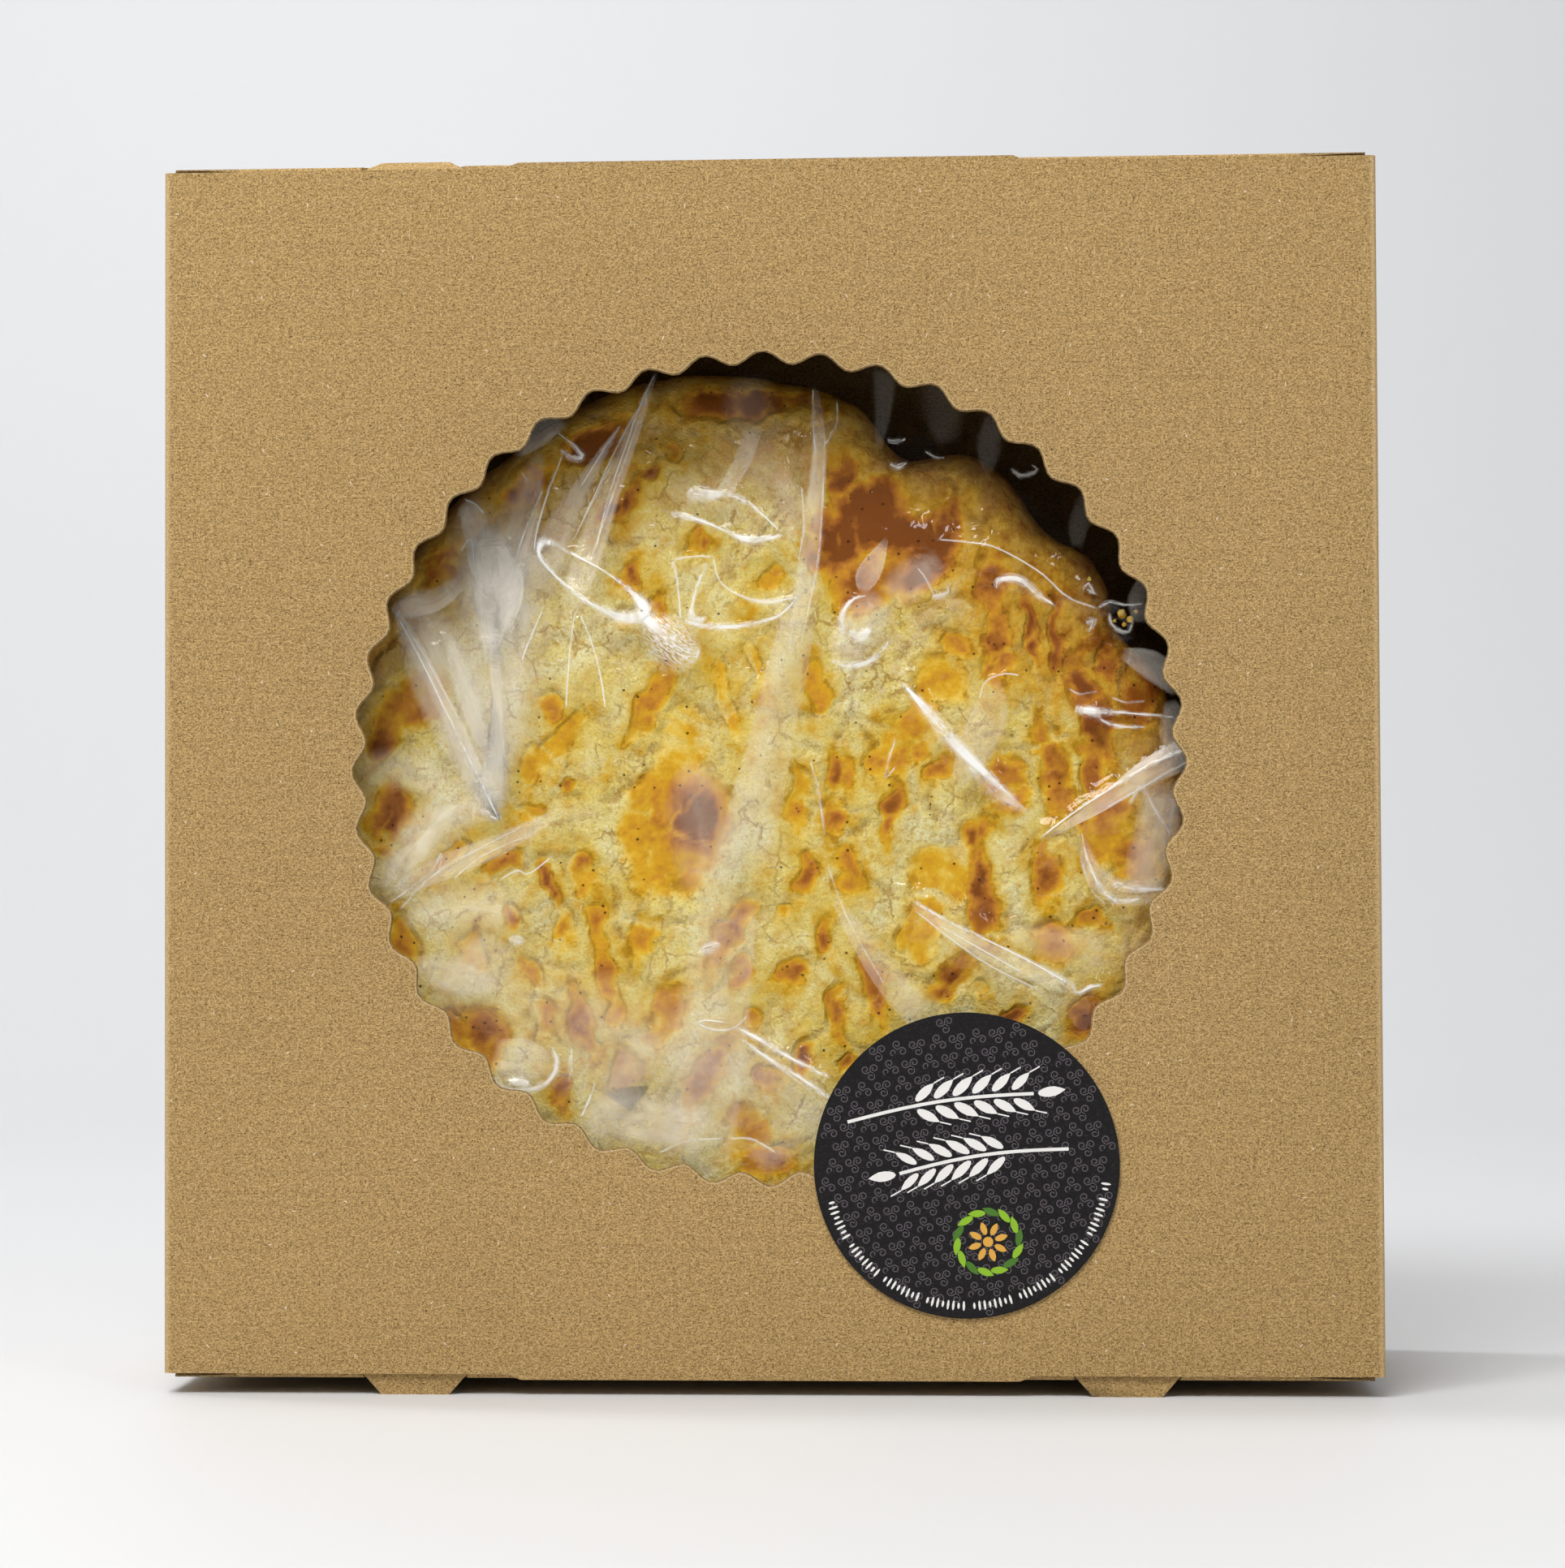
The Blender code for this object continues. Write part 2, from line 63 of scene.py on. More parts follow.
# Finer sizes that only this scene has
PRESSED_EDGE = 0.46 * MM
RAGGED_EDGE = 1.9 * MM
HALO_WIDTH = 5.0 * MM
TEAR_REACH = 1.1 * MM
TEAR_DEPTH = 0.6 * MM
CRAG_HEIGHT = 0.45 * MM
GLAZE_DEPTH = 0.28 * MM
FULLY_BROWN = 78 * MM
CRUMB_LIFT = 0.9 * MM
FILM_RADIUS = 73.5 * MM
FILM_DIP = 0.8 * MM
CREASE_LIFT = 0.25 * MM
CREASE_REACH = 1.6 * MM
RIPPLE_HEIGHT = 0.55 * MM
BUNCH_DEPTH = 11 * MM
LOOSE_DEPTH = 1.5 * MM
BEHIND_PANEL = 0.25 * MM
OVER_FLAP = 0.6 * MM
VEIL_LEVEL = 0.12 * MM
VEIL_STEP = 0.012 * MM
CREASE_LEVEL = 0.72 * MM
LABEL_TILT = math.radians(8.5)
LABEL_THICKNESS = 0.14 * MM
PALE_EDGE = 0.22 * MM
INK = 0.02 * MM
TINY = 0.001 * MM

# Places on the label from its middle, and spacings (mm)
WHORL_SPACING = (3.35, 2.95)
WHORL_STAGGER = 1.68
DASH_RADIUS = 23.2
WREATH = (1.6, -13.0)

# Squares across the cake's top and across the film
CAKE_CUTS = 270
FILM_CUTS = 272

# How full the rounding of the cake's rim is, where 1 would be a whole quarter circle
ROUNDED = 0.94

# Glazed patches of the cake's top: across, up, length, width (mm), angle (degrees), and how dark they
# baked, from 0 for golden to 1 for dark brown
PATCHES = (
    (-19, 42, 5, 4, 60, 0.75), (-15, 37, 7, 3, 80, 0.45), (-8, 48, 5, 4, 30, 0.55),
    (-17, 60, 3, 3, 40, 0.6), (-22, 54, 9, 5, 50, 0.85), (-25, 65.5, 13, 6, 25, 1.0),
    (-12, 64, 4, 3, 0, 0.45), (0, 72.5, 24, 5, 0, 0.8), (-10, 14, 14, 9, 75, 0.15),
    (-3, 21, 15, 3.5, 104, 0.1), (2, 28, 10, 3, 102, 0.15), (-16, 20, 17, 4, 62, 0.45),
    (-33, 20, 5, 4, 75, 0.4), (-31, 14, 12, 4, 50, 0.25), (-37, 10, 7, 4, 60, 0.2),
    (-57, 20, 13, 9, 40, 0.5), (-62, 14, 7, 5, 70, 0.75), (-52, 44, 8, 6, 30, 0.65),
    (-38, 57, 9, 5, 45, 0.75), (21, 54, 14, 9, 20, 0.9), (16, 48, 14, 10, 90, 1.0),
    (28, 49, 19, 8, 10, 1.0), (36, 51, 10, 5, 85, 0.6), (29, 43, 15, 9, 20, 0.9), (20, 41, 12, 9, 40, 0.6),
    (23, 51, 13, 8, 10, 1.0), (33, 47, 9, 6, 10, 1.0), (17, 59, 10, 4, 80, 0.8), (42, 41, 12, 5, 88, 0.6),
    (43, 30, 15, 5, 92, 0.6), (49, 32, 13, 2.5, 92, 0.75), (53, 31, 13, 2.5, 93, 0.65),
    (57, 24, 10, 5, 100, 0.8), (60, 15, 12, 4.5, 100, 0.8), (62, 27, 7, 3, 90, 0.55),
    (52, 10, 18, 5.5, 101, 0.6), (59, 7, 12, 4, 100, 0.65), (33, 23, 10, 8, 45, 0.15),
    (28, 15, 14, 9, 45, 0.25), (28, 12, 9, 6, 50, 0.6), (45, 7, 10, 6, 120, 0.55), (12, 23, 9, 4, 95, 0.35),
    (36, 30, 5, 4, 45, 0.25), (68, 23, 12, 8, 80, 0.5), (-12, -1, 25, 19, 100, 0.35),
    (-8.5, 1, 16, 13, 100, 0.85), (-12, -8, 12, 6, 20, 0.35), (-30, 6, 3, 3, 0, 0.85),
    (-36, 2, 6, 3, 20, 0.35), (-41, -7, 9, 4, 30, 0.4), (-50, -6, 7, 3, 35, 0.45),
    (-60, 0, 13, 8, 85, 0.75), (-58, -20, 9, 5, 110, 0.35), (-33, -11, 9, 3, 102, 0.7),
    (-31, -18, 10, 3.5, 98, 0.3), (-39, -16, 5, 4, 60, 0.7), (-28, -8, 8, 4, 108, 0.45),
    (-25, -17, 9, 3, 98, 0.4), (-23, -27, 13, 3.5, 106, 0.5), (-22, -32, 6, 3, 90, 0.3),
    (-36, -26, 7, 4, 105, 0.5), (-34, -33, 6, 4, 100, 0.35), (-27, -34, 14, 3.5, 106, 0.5),
    (-17, -19, 9, 5, 75, 0.4), (-13, -32, 11, 5, 68, 0.6), (-2, -18, 13, 5, 60, 0.75),
    (0, -25, 5, 4, 70, 0.6), (-43, -36, 10, 7, 120, 0.8), (-48, -36, 9, 4, 120, 0.35),
    (-20, -42, 8, 4, 95, 0.45), (-31, -45, 5, 4, 90, 0.7), (-7, -44, 16, 5, 60, 0.6),
    (1, -52, 10, 8, 60, 0.45), (5, -57, 10, 5, 0, 0.7), (9, 3, 13, 4, 92, 0.3), (16, 9, 7, 4, 95, 0.65),
    (16, 1, 9, 4, 90, 0.6), (25, 2, 11, 4, 80, 0.8), (23, 11, 8, 5, 70, 0.3), (11, -9, 6, 4, 95, 0.6),
    (18, -9, 9, 5, 95, 0.5), (7, -15, 3, 3, 0, 0.4), (14, -19, 6, 3, 80, 0.5), (8, -26, 6, 4, 30, 0.85),
    (16, -33, 9, 3, 102, 0.85), (22, -28, 14, 4, 100, 0.6), (34, -9, 14, 11, 40, 0.2),
    (39, -2, 6, 5, 0, 0.85), (40, -12, 20, 5, 95, 0.8), (44, 4, 9, 7, 60, 0.55),
    (51, -9, 12, 4.5, 97, 0.65), (61, 0, 13, 9, 95, 0.45), (57, -2, 9, 3, 110, 0.6),
    (59, -17, 5, 4, 0, 0.85), (52, -21, 9, 6, 20, 0.5), (35, -27, 10, 6, 45, 0.9),
    (30, -19, 13, 7, 60, 0.25), (40, -29, 4, 4, 0, 0.15), (45, -33, 6, 4, 30, 0.9),
    (58, -33, 7, 5, 60, 0.9), (10, -40, 7, 4, 60, 0.85), (4, -43, 4, 3, 80, 0.6), (2, -34, 4, 3, 80, 0.45),
    (17, -40, 5, 3, 60, 0.7), (66, -6, 10, 6, 80, 0.4), (-46, -22, 7, 4, 70, 0.3), (5, 42, 5, 3, 60, 0.3),
    (33, 9, 6, 3, 60, 0.4),
)

# Wide ragged tears in the top (mm)
TEARS = (
    ((30, 32), (34, 33), (38, 30), (39.5, 26.5)), ((11, 12.5), (15, 13), (18, 15.5), (20.5, 16), (22, 12)),
    ((21, 24), (25, 27.5), (31, 30), (35, 35)), ((26, 37.5), (31, 37), (37, 38), (39, 35.5)),
    ((14, 46), (11, 43)), ((40, 16), (44, 15.5), (47, 14)), ((52.5, 17), (53, 11), (54.5, 5)),
    ((-14, 66), (-12.5, 63.5), (-10, 64)), ((-21, 37), (-18, 34)),
    ((-28, 18), (-29, 13), (-31, 9.5), (-36, 10)), ((-33, 3), (-29, 4), (-24, 3), (-20, 6), (-14, 12)),
    ((-13, -11), (-10, -12), (-7, -10)), ((-23, -9), (-22, -16), (-20, -21), (-19, -27)),
    ((-38, -31), (-35.5, -35), (-34, -38)), ((-23, -39.5), (-20, -36), (-17, -35.5)),
    ((-14, -28), (-12, -25), (-8, -23)), ((13, -4), (17, -3), (20, -1), (22, 3)),
    ((27, 5), (33, 6), (31, 2), (34, -1)), ((21, -11), (25, -12), (27, -9), (31, -12)),
    ((5, -11), (8, -13), (11, -12)), ((8, -21), (11, -23)), ((46, -5), (49, -3), (54, -4)),
    ((44, -16), (49, -19.5), (54, -17)), ((-44, 1), (-48, -3)), ((-42, -12), (-46, -18), (-44, -24)),
    ((3, 48), (-1, 44), (-3, 41)), ((60, 44), (56, 41), (54, 44)), ((44, 55), (41, 51)),
    ((31, 58), (28, 55), (31, 53)), ((-24, 49), (-19, 47), (-14, 51)),
)

# Dents and swells of the cake's rim: angle and half width (degrees), and how far it moves out (mm)
RIM_DENTS = (
    (102, 20, 4.2), (67, 6, -6.5), (45, 6, -3.2), (27, 5, -3.4), (165, 12, 0.8), (-60, 20, -0.8),
)

# Loose crumbs under the film: across, up and size (mm)
CRUMBS = (
    (64.2, 34.9, 1.5), (65.6, 33.9, 1.2), (64.6, 33.1, 0.8), (66.6, 35.3, 0.7), (63.0, 33.8, 0.6),
    (58.8, 41.0, 0.7),
)

# Folds that stand up in the film over the cake: start, end (mm), half width and height (mm)
FOLDS = (
    ((12, 73), (9, 36), 6, 0.9), ((9, 36), (2, -6), 6, 0.9), ((2, -6), (-7, -58), 8, 1.0),
    ((-58, 37), (-40, 0), 6, 1.2), ((-40, 0), (-34, 56), 7, 1.1), ((-15, 74), (-28, 30), 6, 1.2),
    ((52, -3), (74, 11), 6, 1.0), ((29, -14), (60, -30), 7, 1.1), ((-6, -34), (17, -47), 6, 1.0),
    ((31, 48), (66, 36), 6, 0.8), ((29, 22), (47, 3), 6, 0.9), ((-44, -44), (-20, -62), 7, 1.0),
)

# Places where the film lies double: how cloudy, how soft its left and right edges are as shares of
# its half width, and the run of its middle line with its half width (mm)
# Their milkiness is partly a painted reflection of the soft light
VEILS = (
    (0.30, 0.90, 0.90, ((-46, 57, 2), (-45, 48, 7), (-44, 38, 8), (-43, 25, 7), (-42, 12, 5), (-42, 2, 3))),
    (0.64, 0.40, 0.25, ((-43.5, 51, 0.8), (-43, 47, 3.2), (-42.4, 42, 4.2), (-42.2, 37, 4),
        (-43, 32, 2.6), (-43, 27, 0.8))),
    (0.50, 0.10, 0.60, ((-47, 47, 0.5), (-45.5, 44.5, 1.6), (-43.5, 41.5, 1.8), (-41.5, 40, 0.6))),
    (0.52, 0.10, 0.70, ((-45.5, 42, 0.4), (-44.5, 38, 1.4), (-43, 33.5, 1.6), (-42.3, 28.5, 0.4))),
    (0.50, 0.60, 0.10, ((-40.5, 46, 0.4), (-38.8, 42, 1.2), (-39.2, 37, 1.4), (-41, 31, 0.5))),
    (0.40, 0.15, 0.15, ((-42.5, 48, 0.3), (-41.2, 44.5, 0.9), (-41.8, 39.5, 0.7), (-40.8, 35.5, 0.3))),
    (0.46, 0.35, 0.60, ((-43, 33, 0.6), (-42, 26, 1.4), (-41.6, 20, 1.2), (-41.6, 12, 2), (-42, 5, 2.8),
        (-41, 0, 0.8))),
    (0.34, 0.20, 0.70, ((-50, 33, 0.6), (-48.5, 27, 1.8), (-46, 20, 2.2), (-43.5, 12, 1))),
    (0.42, 0.15, 0.50, ((-49, 54, 0.8), (-47, 53, 2.2), (-45.5, 50, 2.6), (-45, 45, 2))),
    (0.46, 0.20, 0.60, ((-60, 36, 0.8), (-57, 37, 2.6), (-52, 38.5, 2.2), (-48, 41.5, 1.5))),
    (0.34, 0.25, 0.60, ((-59, 38, 1.5), (-54, 32, 5.5), (-49, 21, 6.5), (-44, 8, 4), (-41, 0, 1))),
    (0.46, 0.60, 0.12, ((-60, 37, 0.8), (-56, 29.5, 1.6), (-51, 19.5, 1.8), (-46, 9.5, 1.7),
        (-41.5, 0.5, 0.8))),
    (0.30, 0.90, 0.90, ((-37, 52, 3), (-37, 38, 5), (-38, 24, 5), (-40, 8, 3.5))),
    (0.34, 0.80, 0.30, ((-35, 64, 1), (-38, 54, 4), (-42, 44, 6), (-47, 36, 6))),
    (0.34, 0.30, 0.20, ((-14.5, 79, 0.4), (-19, 66, 1.3), (-23, 56, 2.2), (-27, 44, 2.8), (-30, 35, 1.6))),
    (0.34, 0.30, 0.60, ((-21, 68, 0.5), (-26, 60, 1.5), (-31, 50, 3), (-35, 39, 4))),
    (0.30, 0.20, 0.20, ((-40, 64, 2), (-36, 67, 3), (-31, 70, 2))),
    (0.52, 0.90, 0.90, ((-41, 2, 2.5), (-49, 2, 5), (-56, -5, 5), (-62, -12, 2))),
    (0.22, 0.60, 0.60, ((-66, 9, 3), (-58, 9, 4), (-50, 5, 3))),
    (0.12, 0.60, 0.60, ((0, 77, 4), (1, 70, 5), (2, 64, 4.5), (5, 56, 4))),
    (0.30, 0.30, 0.15, ((2, 68, 1.5), (0, 62, 1.6), (-4, 55, 1.4))),
    (0.18, 0.80, 0.80, ((6, 60, 2), (8, 53, 3), (8, 47, 2))),
    (0.30, 0.35, 0.15, ((12, 76, 0.5), (13, 64, 1.3), (12, 52, 1.7), (11, 42, 1.9), (9, 33, 1.2),
        (7.5, 27, 0.4))),
    (0.17, 0.60, 0.10, ((11, 42, 2.4), (8, 28, 3.6), (5, 15, 4), (2, 2, 4.6), (-2, -11, 5))),
    (0.24, 0.50, 0.10, ((-2, -11, 5), (-4, -25, 6), (-6, -40, 7), (-8, -60, 6))),
    (0.24, 0.95, 0.70, ((-11, 9, 2), (-8, 5, 6), (-6, -4, 7), (-8, -14, 3))),
    (0.14, 0.20, 0.70, ((11, 45, 1), (6, 26, 2), (3, 12, 2.5), (-1, -3, 3), (-6, -22, 3))),
    (0.36, 0.10, 0.10, ((24.5, 48, 0.3), (22.5, 44, 1.7), (21, 41, 2), (20.5, 38.5, 0.6))),
    (0.30, 0.60, 0.60, ((24, 38, 3), (20, 33, 4.5), (17, 27, 3))),
    (0.24, 0.60, 0.60, ((34, 44, 2), (29, 41, 4), (25, 37, 3))),
    (0.22, 0.10, 0.20, ((42.5, 24, 0.8), (42, 18, 3.2), (39, 11, 3), (36, 5, 1))),
    (0.30, 0.20, 0.20, ((74, 22, 2), (69, 26, 2.6), (64, 28, 1))),
    (0.44, 0.12, 0.12, ((77, 12, 3), (68, 7.5, 2.2), (60, 2, 1.2), (50, -4, 0.3))),
    (0.34, 0.50, 0.50, ((71, 7, 3), (70, 0, 4), (68, -8, 4), (67, -13, 3))),
    (0.32, 0.20, 0.40, ((57, -3, 0.6), (59, -9, 1.8), (64, -12.5, 2.4), (72, -11.5, 2))),
    (0.34, 0.15, 0.35, ((28, -13.5, 0.6), (36, -19.5, 1.5), (46, -24.5, 1.8), (57, -29, 1.2))),
    (0.20, 0.60, 0.60, ((44, -19, 2), (52, -21, 3.5), (62, -23, 4))),
    (0.24, 0.10, 0.60, ((15, -12, 0.6), (20, -20, 2), (26, -28, 3), (33, -35, 3.5))),
    (0.30, 0.20, 0.20, ((-62, -14, 0.6), (-52, -8.5, 2.2), (-40, -3.5, 1.8), (-30, 2, 0.5))),
    (0.30, 0.90, 0.90, ((-58, -17, 2), (-48, -14, 5), (-37, -16, 4))),
    (0.36, 0.40, 0.60, ((-56, -24, 1.6), (-49, -26, 3.4), (-41, -28, 1.6))),
    (0.20, 0.80, 0.30, ((-52, -33, 3), (-45, -26, 5), (-40, -20, 4))),
    (0.30, 0.60, 0.10, ((-42, -40, 3), (-37, -41, 4.5), (-32, -41, 2))),
    (0.38, 0.60, 0.60, ((-28, -51, 2), (-20, -50, 5), (-11, -51, 5.5), (-5, -52, 4))),
    (0.26, 0.70, 0.70, ((-16, -36, 3), (-19, -43, 4), (-24, -50, 3))),
    (0.22, 0.95, 0.95, ((-34, -26, 4), (-17, -37, 11), (0, -43, 11), (16, -46, 5))),
    (0.18, 0.95, 0.95, ((-56, -14, 4), (-42, -26, 9), (-28, -38, 9), (-18, -50, 4))),
    (0.20, 0.70, 0.70, ((14, -48, 3), (8, -53, 4), (2, -58, 3))),
    (0.10, 0.40, 0.40, ((24, 78, 2.5), (24, 71, 1.8), (23, 63, 0.6))),
    (0.07, 0.50, 0.50, ((34, 76, 4), (34, 70, 4), (35, 64, 2))),
    (0.09, 0.30, 0.70, ((44, 70, 2.5), (42, 64, 2.5), (42, 59, 1))),
    (0.08, 0.40, 0.40, ((60, 56, 3), (57, 50, 2), (57, 46, 1))),
    (0.22, 0.20, 0.20, ((69, 42, 1), (68, 37, 3), (68, 33, 2))),
    (0.22, 0.30, 0.30, ((72, 20, 1), (73, 15, 3), (73, 10, 2))),
)

# Film creases, raised as ridges with a painted highlight: how bright, and each run with its half width (mm)
CREASES = (
    (1.0, ((-32, 47.2, 0.4), (-27, 44.5, 0.18), (-22, 41.5, 0.22), (-18.5, 38.5, 0.6),
        (-16.5, 35.5, 1.3), (-20, 34.5, 0.9), (-26, 37, 0.4), (-31, 41, 0.3), (-34.5, 45, 0.4),
        (-34, 47.5, 0.7), (-31, 47, 0.4))),
    (1.0, ((-17.5, 35.5, 0.4), (-15, 33, 1.8), (-12.5, 30.8, 3.1), (-10, 29, 2.8), (-7, 28, 0.5))),
    (1.0, ((27, 23, 0.2), (31, 18.5, 0.8), (36, 12.5, 1.0), (41, 7.5, 0.7), (46, 3, 0.2))),
    (0.5, ((38, 9, 0.4), (43, 4.5, 1.2), (48, 1, 0.3))),
    (0.8, ((-9.5, 56.3, 0.5), (-8, 55.8, 1.1), (-5, 55.6, 0.9), (-3, 55.8, 0.5), (0, 54.8, 0.5),
        (3, 52.5, 0.25), (6.5, 49, 0.15))),
    (0.9, ((-12.5, 52.5, 0.5), (-8, 51.5, 0.45), (-3, 49.5, 0.3), (0, 48, 0.6), (3, 47.8, 0.6),
        (7, 48.5, 0.3))),
    (0.6, ((-12, 44.5, 0.3), (-8, 45, 0.15), (-5, 45, 0.3))),
    (0.6, ((-12, 44.5, 0.4), (-11, 40, 0.2), (-10.5, 34, 0.25))),
    (0.6, ((-5, 45, 0.2), (-4, 41, 0.15), (-1, 38.5, 0.2), (4, 37, 0.5), (9.5, 37.8, 0.2))),
    (0.8, ((-6, 44, 0.3), (-8, 39, 0.3), (-9, 34, 0.4))),
    (0.9, ((9.5, 37.8, 0.15), (6, 34.5, 0.3), (0, 33, 0.45), (-6, 33, 0.5), (-10, 34, 0.3))),
    (0.9, ((-9, 36, 0.3), (-8, 34, 0.7), (-6, 34.5, 0.3))),
    (0.9, ((-32, 67, 0.1), (-29, 64.5, 0.3), (-27.5, 62.5, 0.5), (-29.5, 62.5, 0.5), (-31.5, 64, 0.2))),
    (0.7, ((-15, 77, 0.1), (-18, 70, 0.25), (-20, 64, 0.2), (-23, 55, 0.15), (-25, 46, 0.1))),
    (0.6, ((-17, 72, 0.1), (-20, 67, 0.35), (-23, 61, 0.15), (-28, 50, 0.1))),
    (0.6, ((-21, 68, 0.15), (-24, 63.5, 0.3), (-28, 57, 0.1))),
    (0.4, ((-22, 62, 0.1), (-25, 56, 0.2), (-29, 48, 0.1))),
    (0.5, ((-16, 74, 0.1), (-20, 62, 0.2), (-24, 50, 0.2), (-26, 44, 0.1))),
    (0.6, ((-31, 63, 0.1), (-33, 57, 0.25), (-35, 50, 0.2), (-35.5, 46, 0.1))),
    (0.5, ((-34, 57, 0.1), (-37, 50, 0.2), (-39, 44, 0.1))),
    (0.7, ((-60, 37, 0.3), (-55, 28, 0.3), (-50, 18, 0.25), (-45, 8, 0.2), (-41, 0, 0.15))),
    (0.4, ((-59, 36, 0.15), (-54, 28, 0.2), (-48, 17, 0.1))),
    (0.8, ((-44.5, 2, 0.3), (-43, 1, 0.6), (-41, 0, 0.3))),
    (0.5, ((-43, 5, 0.2), (-42, 2, 0.3), (-40.5, 0, 0.1))),
    (0.5, ((14, 66, 0.1), (13.5, 52, 0.2), (12.5, 42, 0.15), (10, 30, 0.15))),
    (0.5, ((12, 74, 0.1), (12, 68, 0.3), (12.5, 62, 0.1))),
    (0.5, ((16, 72, 0.1), (16, 68, 0.2), (14, 64, 0.2))),
    (0.4, ((10, 57, 0.1), (10.5, 50, 0.25), (9.5, 44, 0.1))),
    (0.6, ((33, 47.5, 0.1), (38, 47, 0.15), (43, 46, 0.15), (50, 42, 0.15), (55, 37.5, 0.2),
        (60, 35.5, 0.2))),
    (0.9, ((43, 39, 0.2), (43.5, 40.5, 0.5), (47, 40.5, 0.6), (50, 38, 0.5), (53, 36, 0.1))),
    (0.9, ((17, 31, 0.5), (17, 35, 0.5), (19, 37.5, 0.3), (21, 38, 0.1))),
    (0.9, ((18, 32, 0.4), (20, 31, 1.0), (22, 32.5, 0.4))),
    (0.8, ((15, 27, 0.2), (18, 26, 0.5), (22, 27, 0.5), (25, 30.5, 0.2))),
    (0.6, ((32, 38, 0.2), (33, 37.8, 0.6), (35, 38.5, 0.3), (34.5, 39.5, 0.1))),
    (0.4, ((29.5, 43, 0.1), (31, 41, 0.2), (32.5, 38, 0.15))),
    (0.9, ((56, 18.5, 0.5), (59, 18, 0.7), (64, 17.8, 0.3), (73, 17, 0.2))),
    (0.8, ((59, 18, 0.4), (61, 16.3, 0.3), (64, 15.4, 0.35), (68, 15.4, 0.15))),
    (0.5, ((55, 22, 0.15), (57, 21, 0.2), (60, 21.5, 0.1))),
    (0.5, ((62, 20.5, 0.1), (65, 19.5, 0.2), (68, 19.8, 0.15))),
    (0.8, ((76, 12, 0.3), (70, 9.5, 0.35), (63, 5.5, 0.3), (56, 1, 0.2), (50, -3.5, 0.1))),
    (0.6, ((75, 9.5, 0.2), (68, 5.5, 0.25), (61, 1.5, 0.15))),
    (0.8, ((57, -2.5, 0.1), (58, -7, 0.25), (60, -11.5, 0.4), (63, -14, 0.5), (67, -13.5, 0.3))),
    (0.8, ((62, -11, 0.5), (66, -12, 0.6), (71, -12, 0.3))),
    (0.5, ((57, -7, 0.1), (58.5, -12, 0.2), (61, -14.5, 0.15))),
    (0.5, ((65, 2, 0.3), (67, 5, 0.5), (69, 2, 0.3), (72, -3, 0.2))),
    (0.8, ((29, -14, 0.3), (33, -16.5, 0.3), (40, -20, 0.25), (48, -24, 0.3), (55, -28, 0.4))),
    (0.6, ((29, -15.5, 0.1), (36, -21, 0.2), (42, -25, 0.15), (50, -29, 0.1))),
    (0.6, ((33, -18, 0.1), (40, -22, 0.2), (47, -26, 0.15))),
    (0.9, ((55, -27.5, 0.4), (56, -29.5, 0.3), (58, -28.5, 0.4), (60.5, -28, 0.2))),
    (0.7, ((1, -33, 0.1), (-1, -35, 0.2), (-4, -35.5, 0.25), (-7, -34.5, 0.25), (-6, -33.8, 0.2),
        (-2, -34.3, 0.1))),
    (0.9, ((-1, -35, 0.2), (3, -37, 0.5), (8, -40, 0.4), (15, -43.5, 0.3))),
    (0.9, ((0, -37, 0.2), (5, -40.5, 0.4), (10, -43.5, 0.4), (15, -47, 0.4))),
    (0.4, ((1, -38, 0.1), (6, -41.5, 0.2), (12, -46, 0.1))),
    (0.7, ((-41.5, -43, 0.3), (-40, -45, 0.4), (-36, -45.5, 0.5), (-32.5, -44, 0.5), (-31, -41, 0.5),
        (-32, -38, 0.2))),
    (0.9, ((-39, -44, 0.4), (-37, -44.2, 0.8), (-35.5, -44.5, 0.4))),
    (0.8, ((-24.5, -44, 0.1), (-25.5, -47, 0.25), (-27, -50, 0.2))),
    (0.5, ((-28.5, -38, 0.1), (-28.7, -41, 0.5), (-29, -44, 0.1))),
    (0.6, ((-2, -53.5, 0.1), (2, -53.7, 0.25), (6, -56, 0.2))),
    (0.5, ((-14, -56, 0.1), (-9, -54, 0.15), (-3, -53.5, 0.1))),
    (0.6, ((-28.5, 35, 0.1), (-29.5, 27, 0.15), (-30, 19, 0.15))),
    (0.7, ((-27.5, 35, 0.2), (-25.5, 30, 0.15), (-24, 24, 0.15), (-23.3, 19, 0.15))),
    (0.6, ((-34, 36, 0.1), (-36, 31, 0.2), (-37.5, 27, 0.1))),
    (0.6, ((-41, -10, 0.1), (-38, -8.5, 0.2), (-36, -9, 0.15), (-32, -6, 0.15))),
    (0.5, ((-58, -15, 0.2), (-52, -9, 0.25), (-45, -5, 0.2), (-37, -1, 0.1))),
    (0.5, ((-60, -14, 0.1), (-53, -9, 0.2), (-51, -5.5, 0.2), (-51.5, -9.5, 0.2))),
    (0.4, ((-49, -10, 0.1), (-44, -6, 0.15), (-36, -2.5, 0.1))),
    (0.5, ((11.5, 10, 0.1), (13, 4, 0.3), (14, -3, 0.1))),
    (0.5, ((14.5, -8, 0.1), (17, -15, 0.15), (20, -21, 0.15), (24, -28, 0.1))),
    (0.5, ((26, 14, 0.2), (24.5, 9, 0.25), (24.3, 7, 0.2), (26, 9, 0.1))),
    (0.6, ((40, 20, 0.1), (41, 23, 0.15), (44, 24.5, 0.15), (47, 24.2, 0.1))),
    (0.7, ((-39.5, -20, 0.3), (-38, -20.3, 0.7), (-36.5, -20.5, 0.3))),
    (0.7, ((-7.5, -22.5, 0.3), (-5.5, -21.8, 0.9), (-3.5, -21, 0.4))),
    (0.7, ((60, 35.5, 0.2), (62, 36.5, 0.3), (65, 36, 0.2), (68, 36.3, 0.3))),
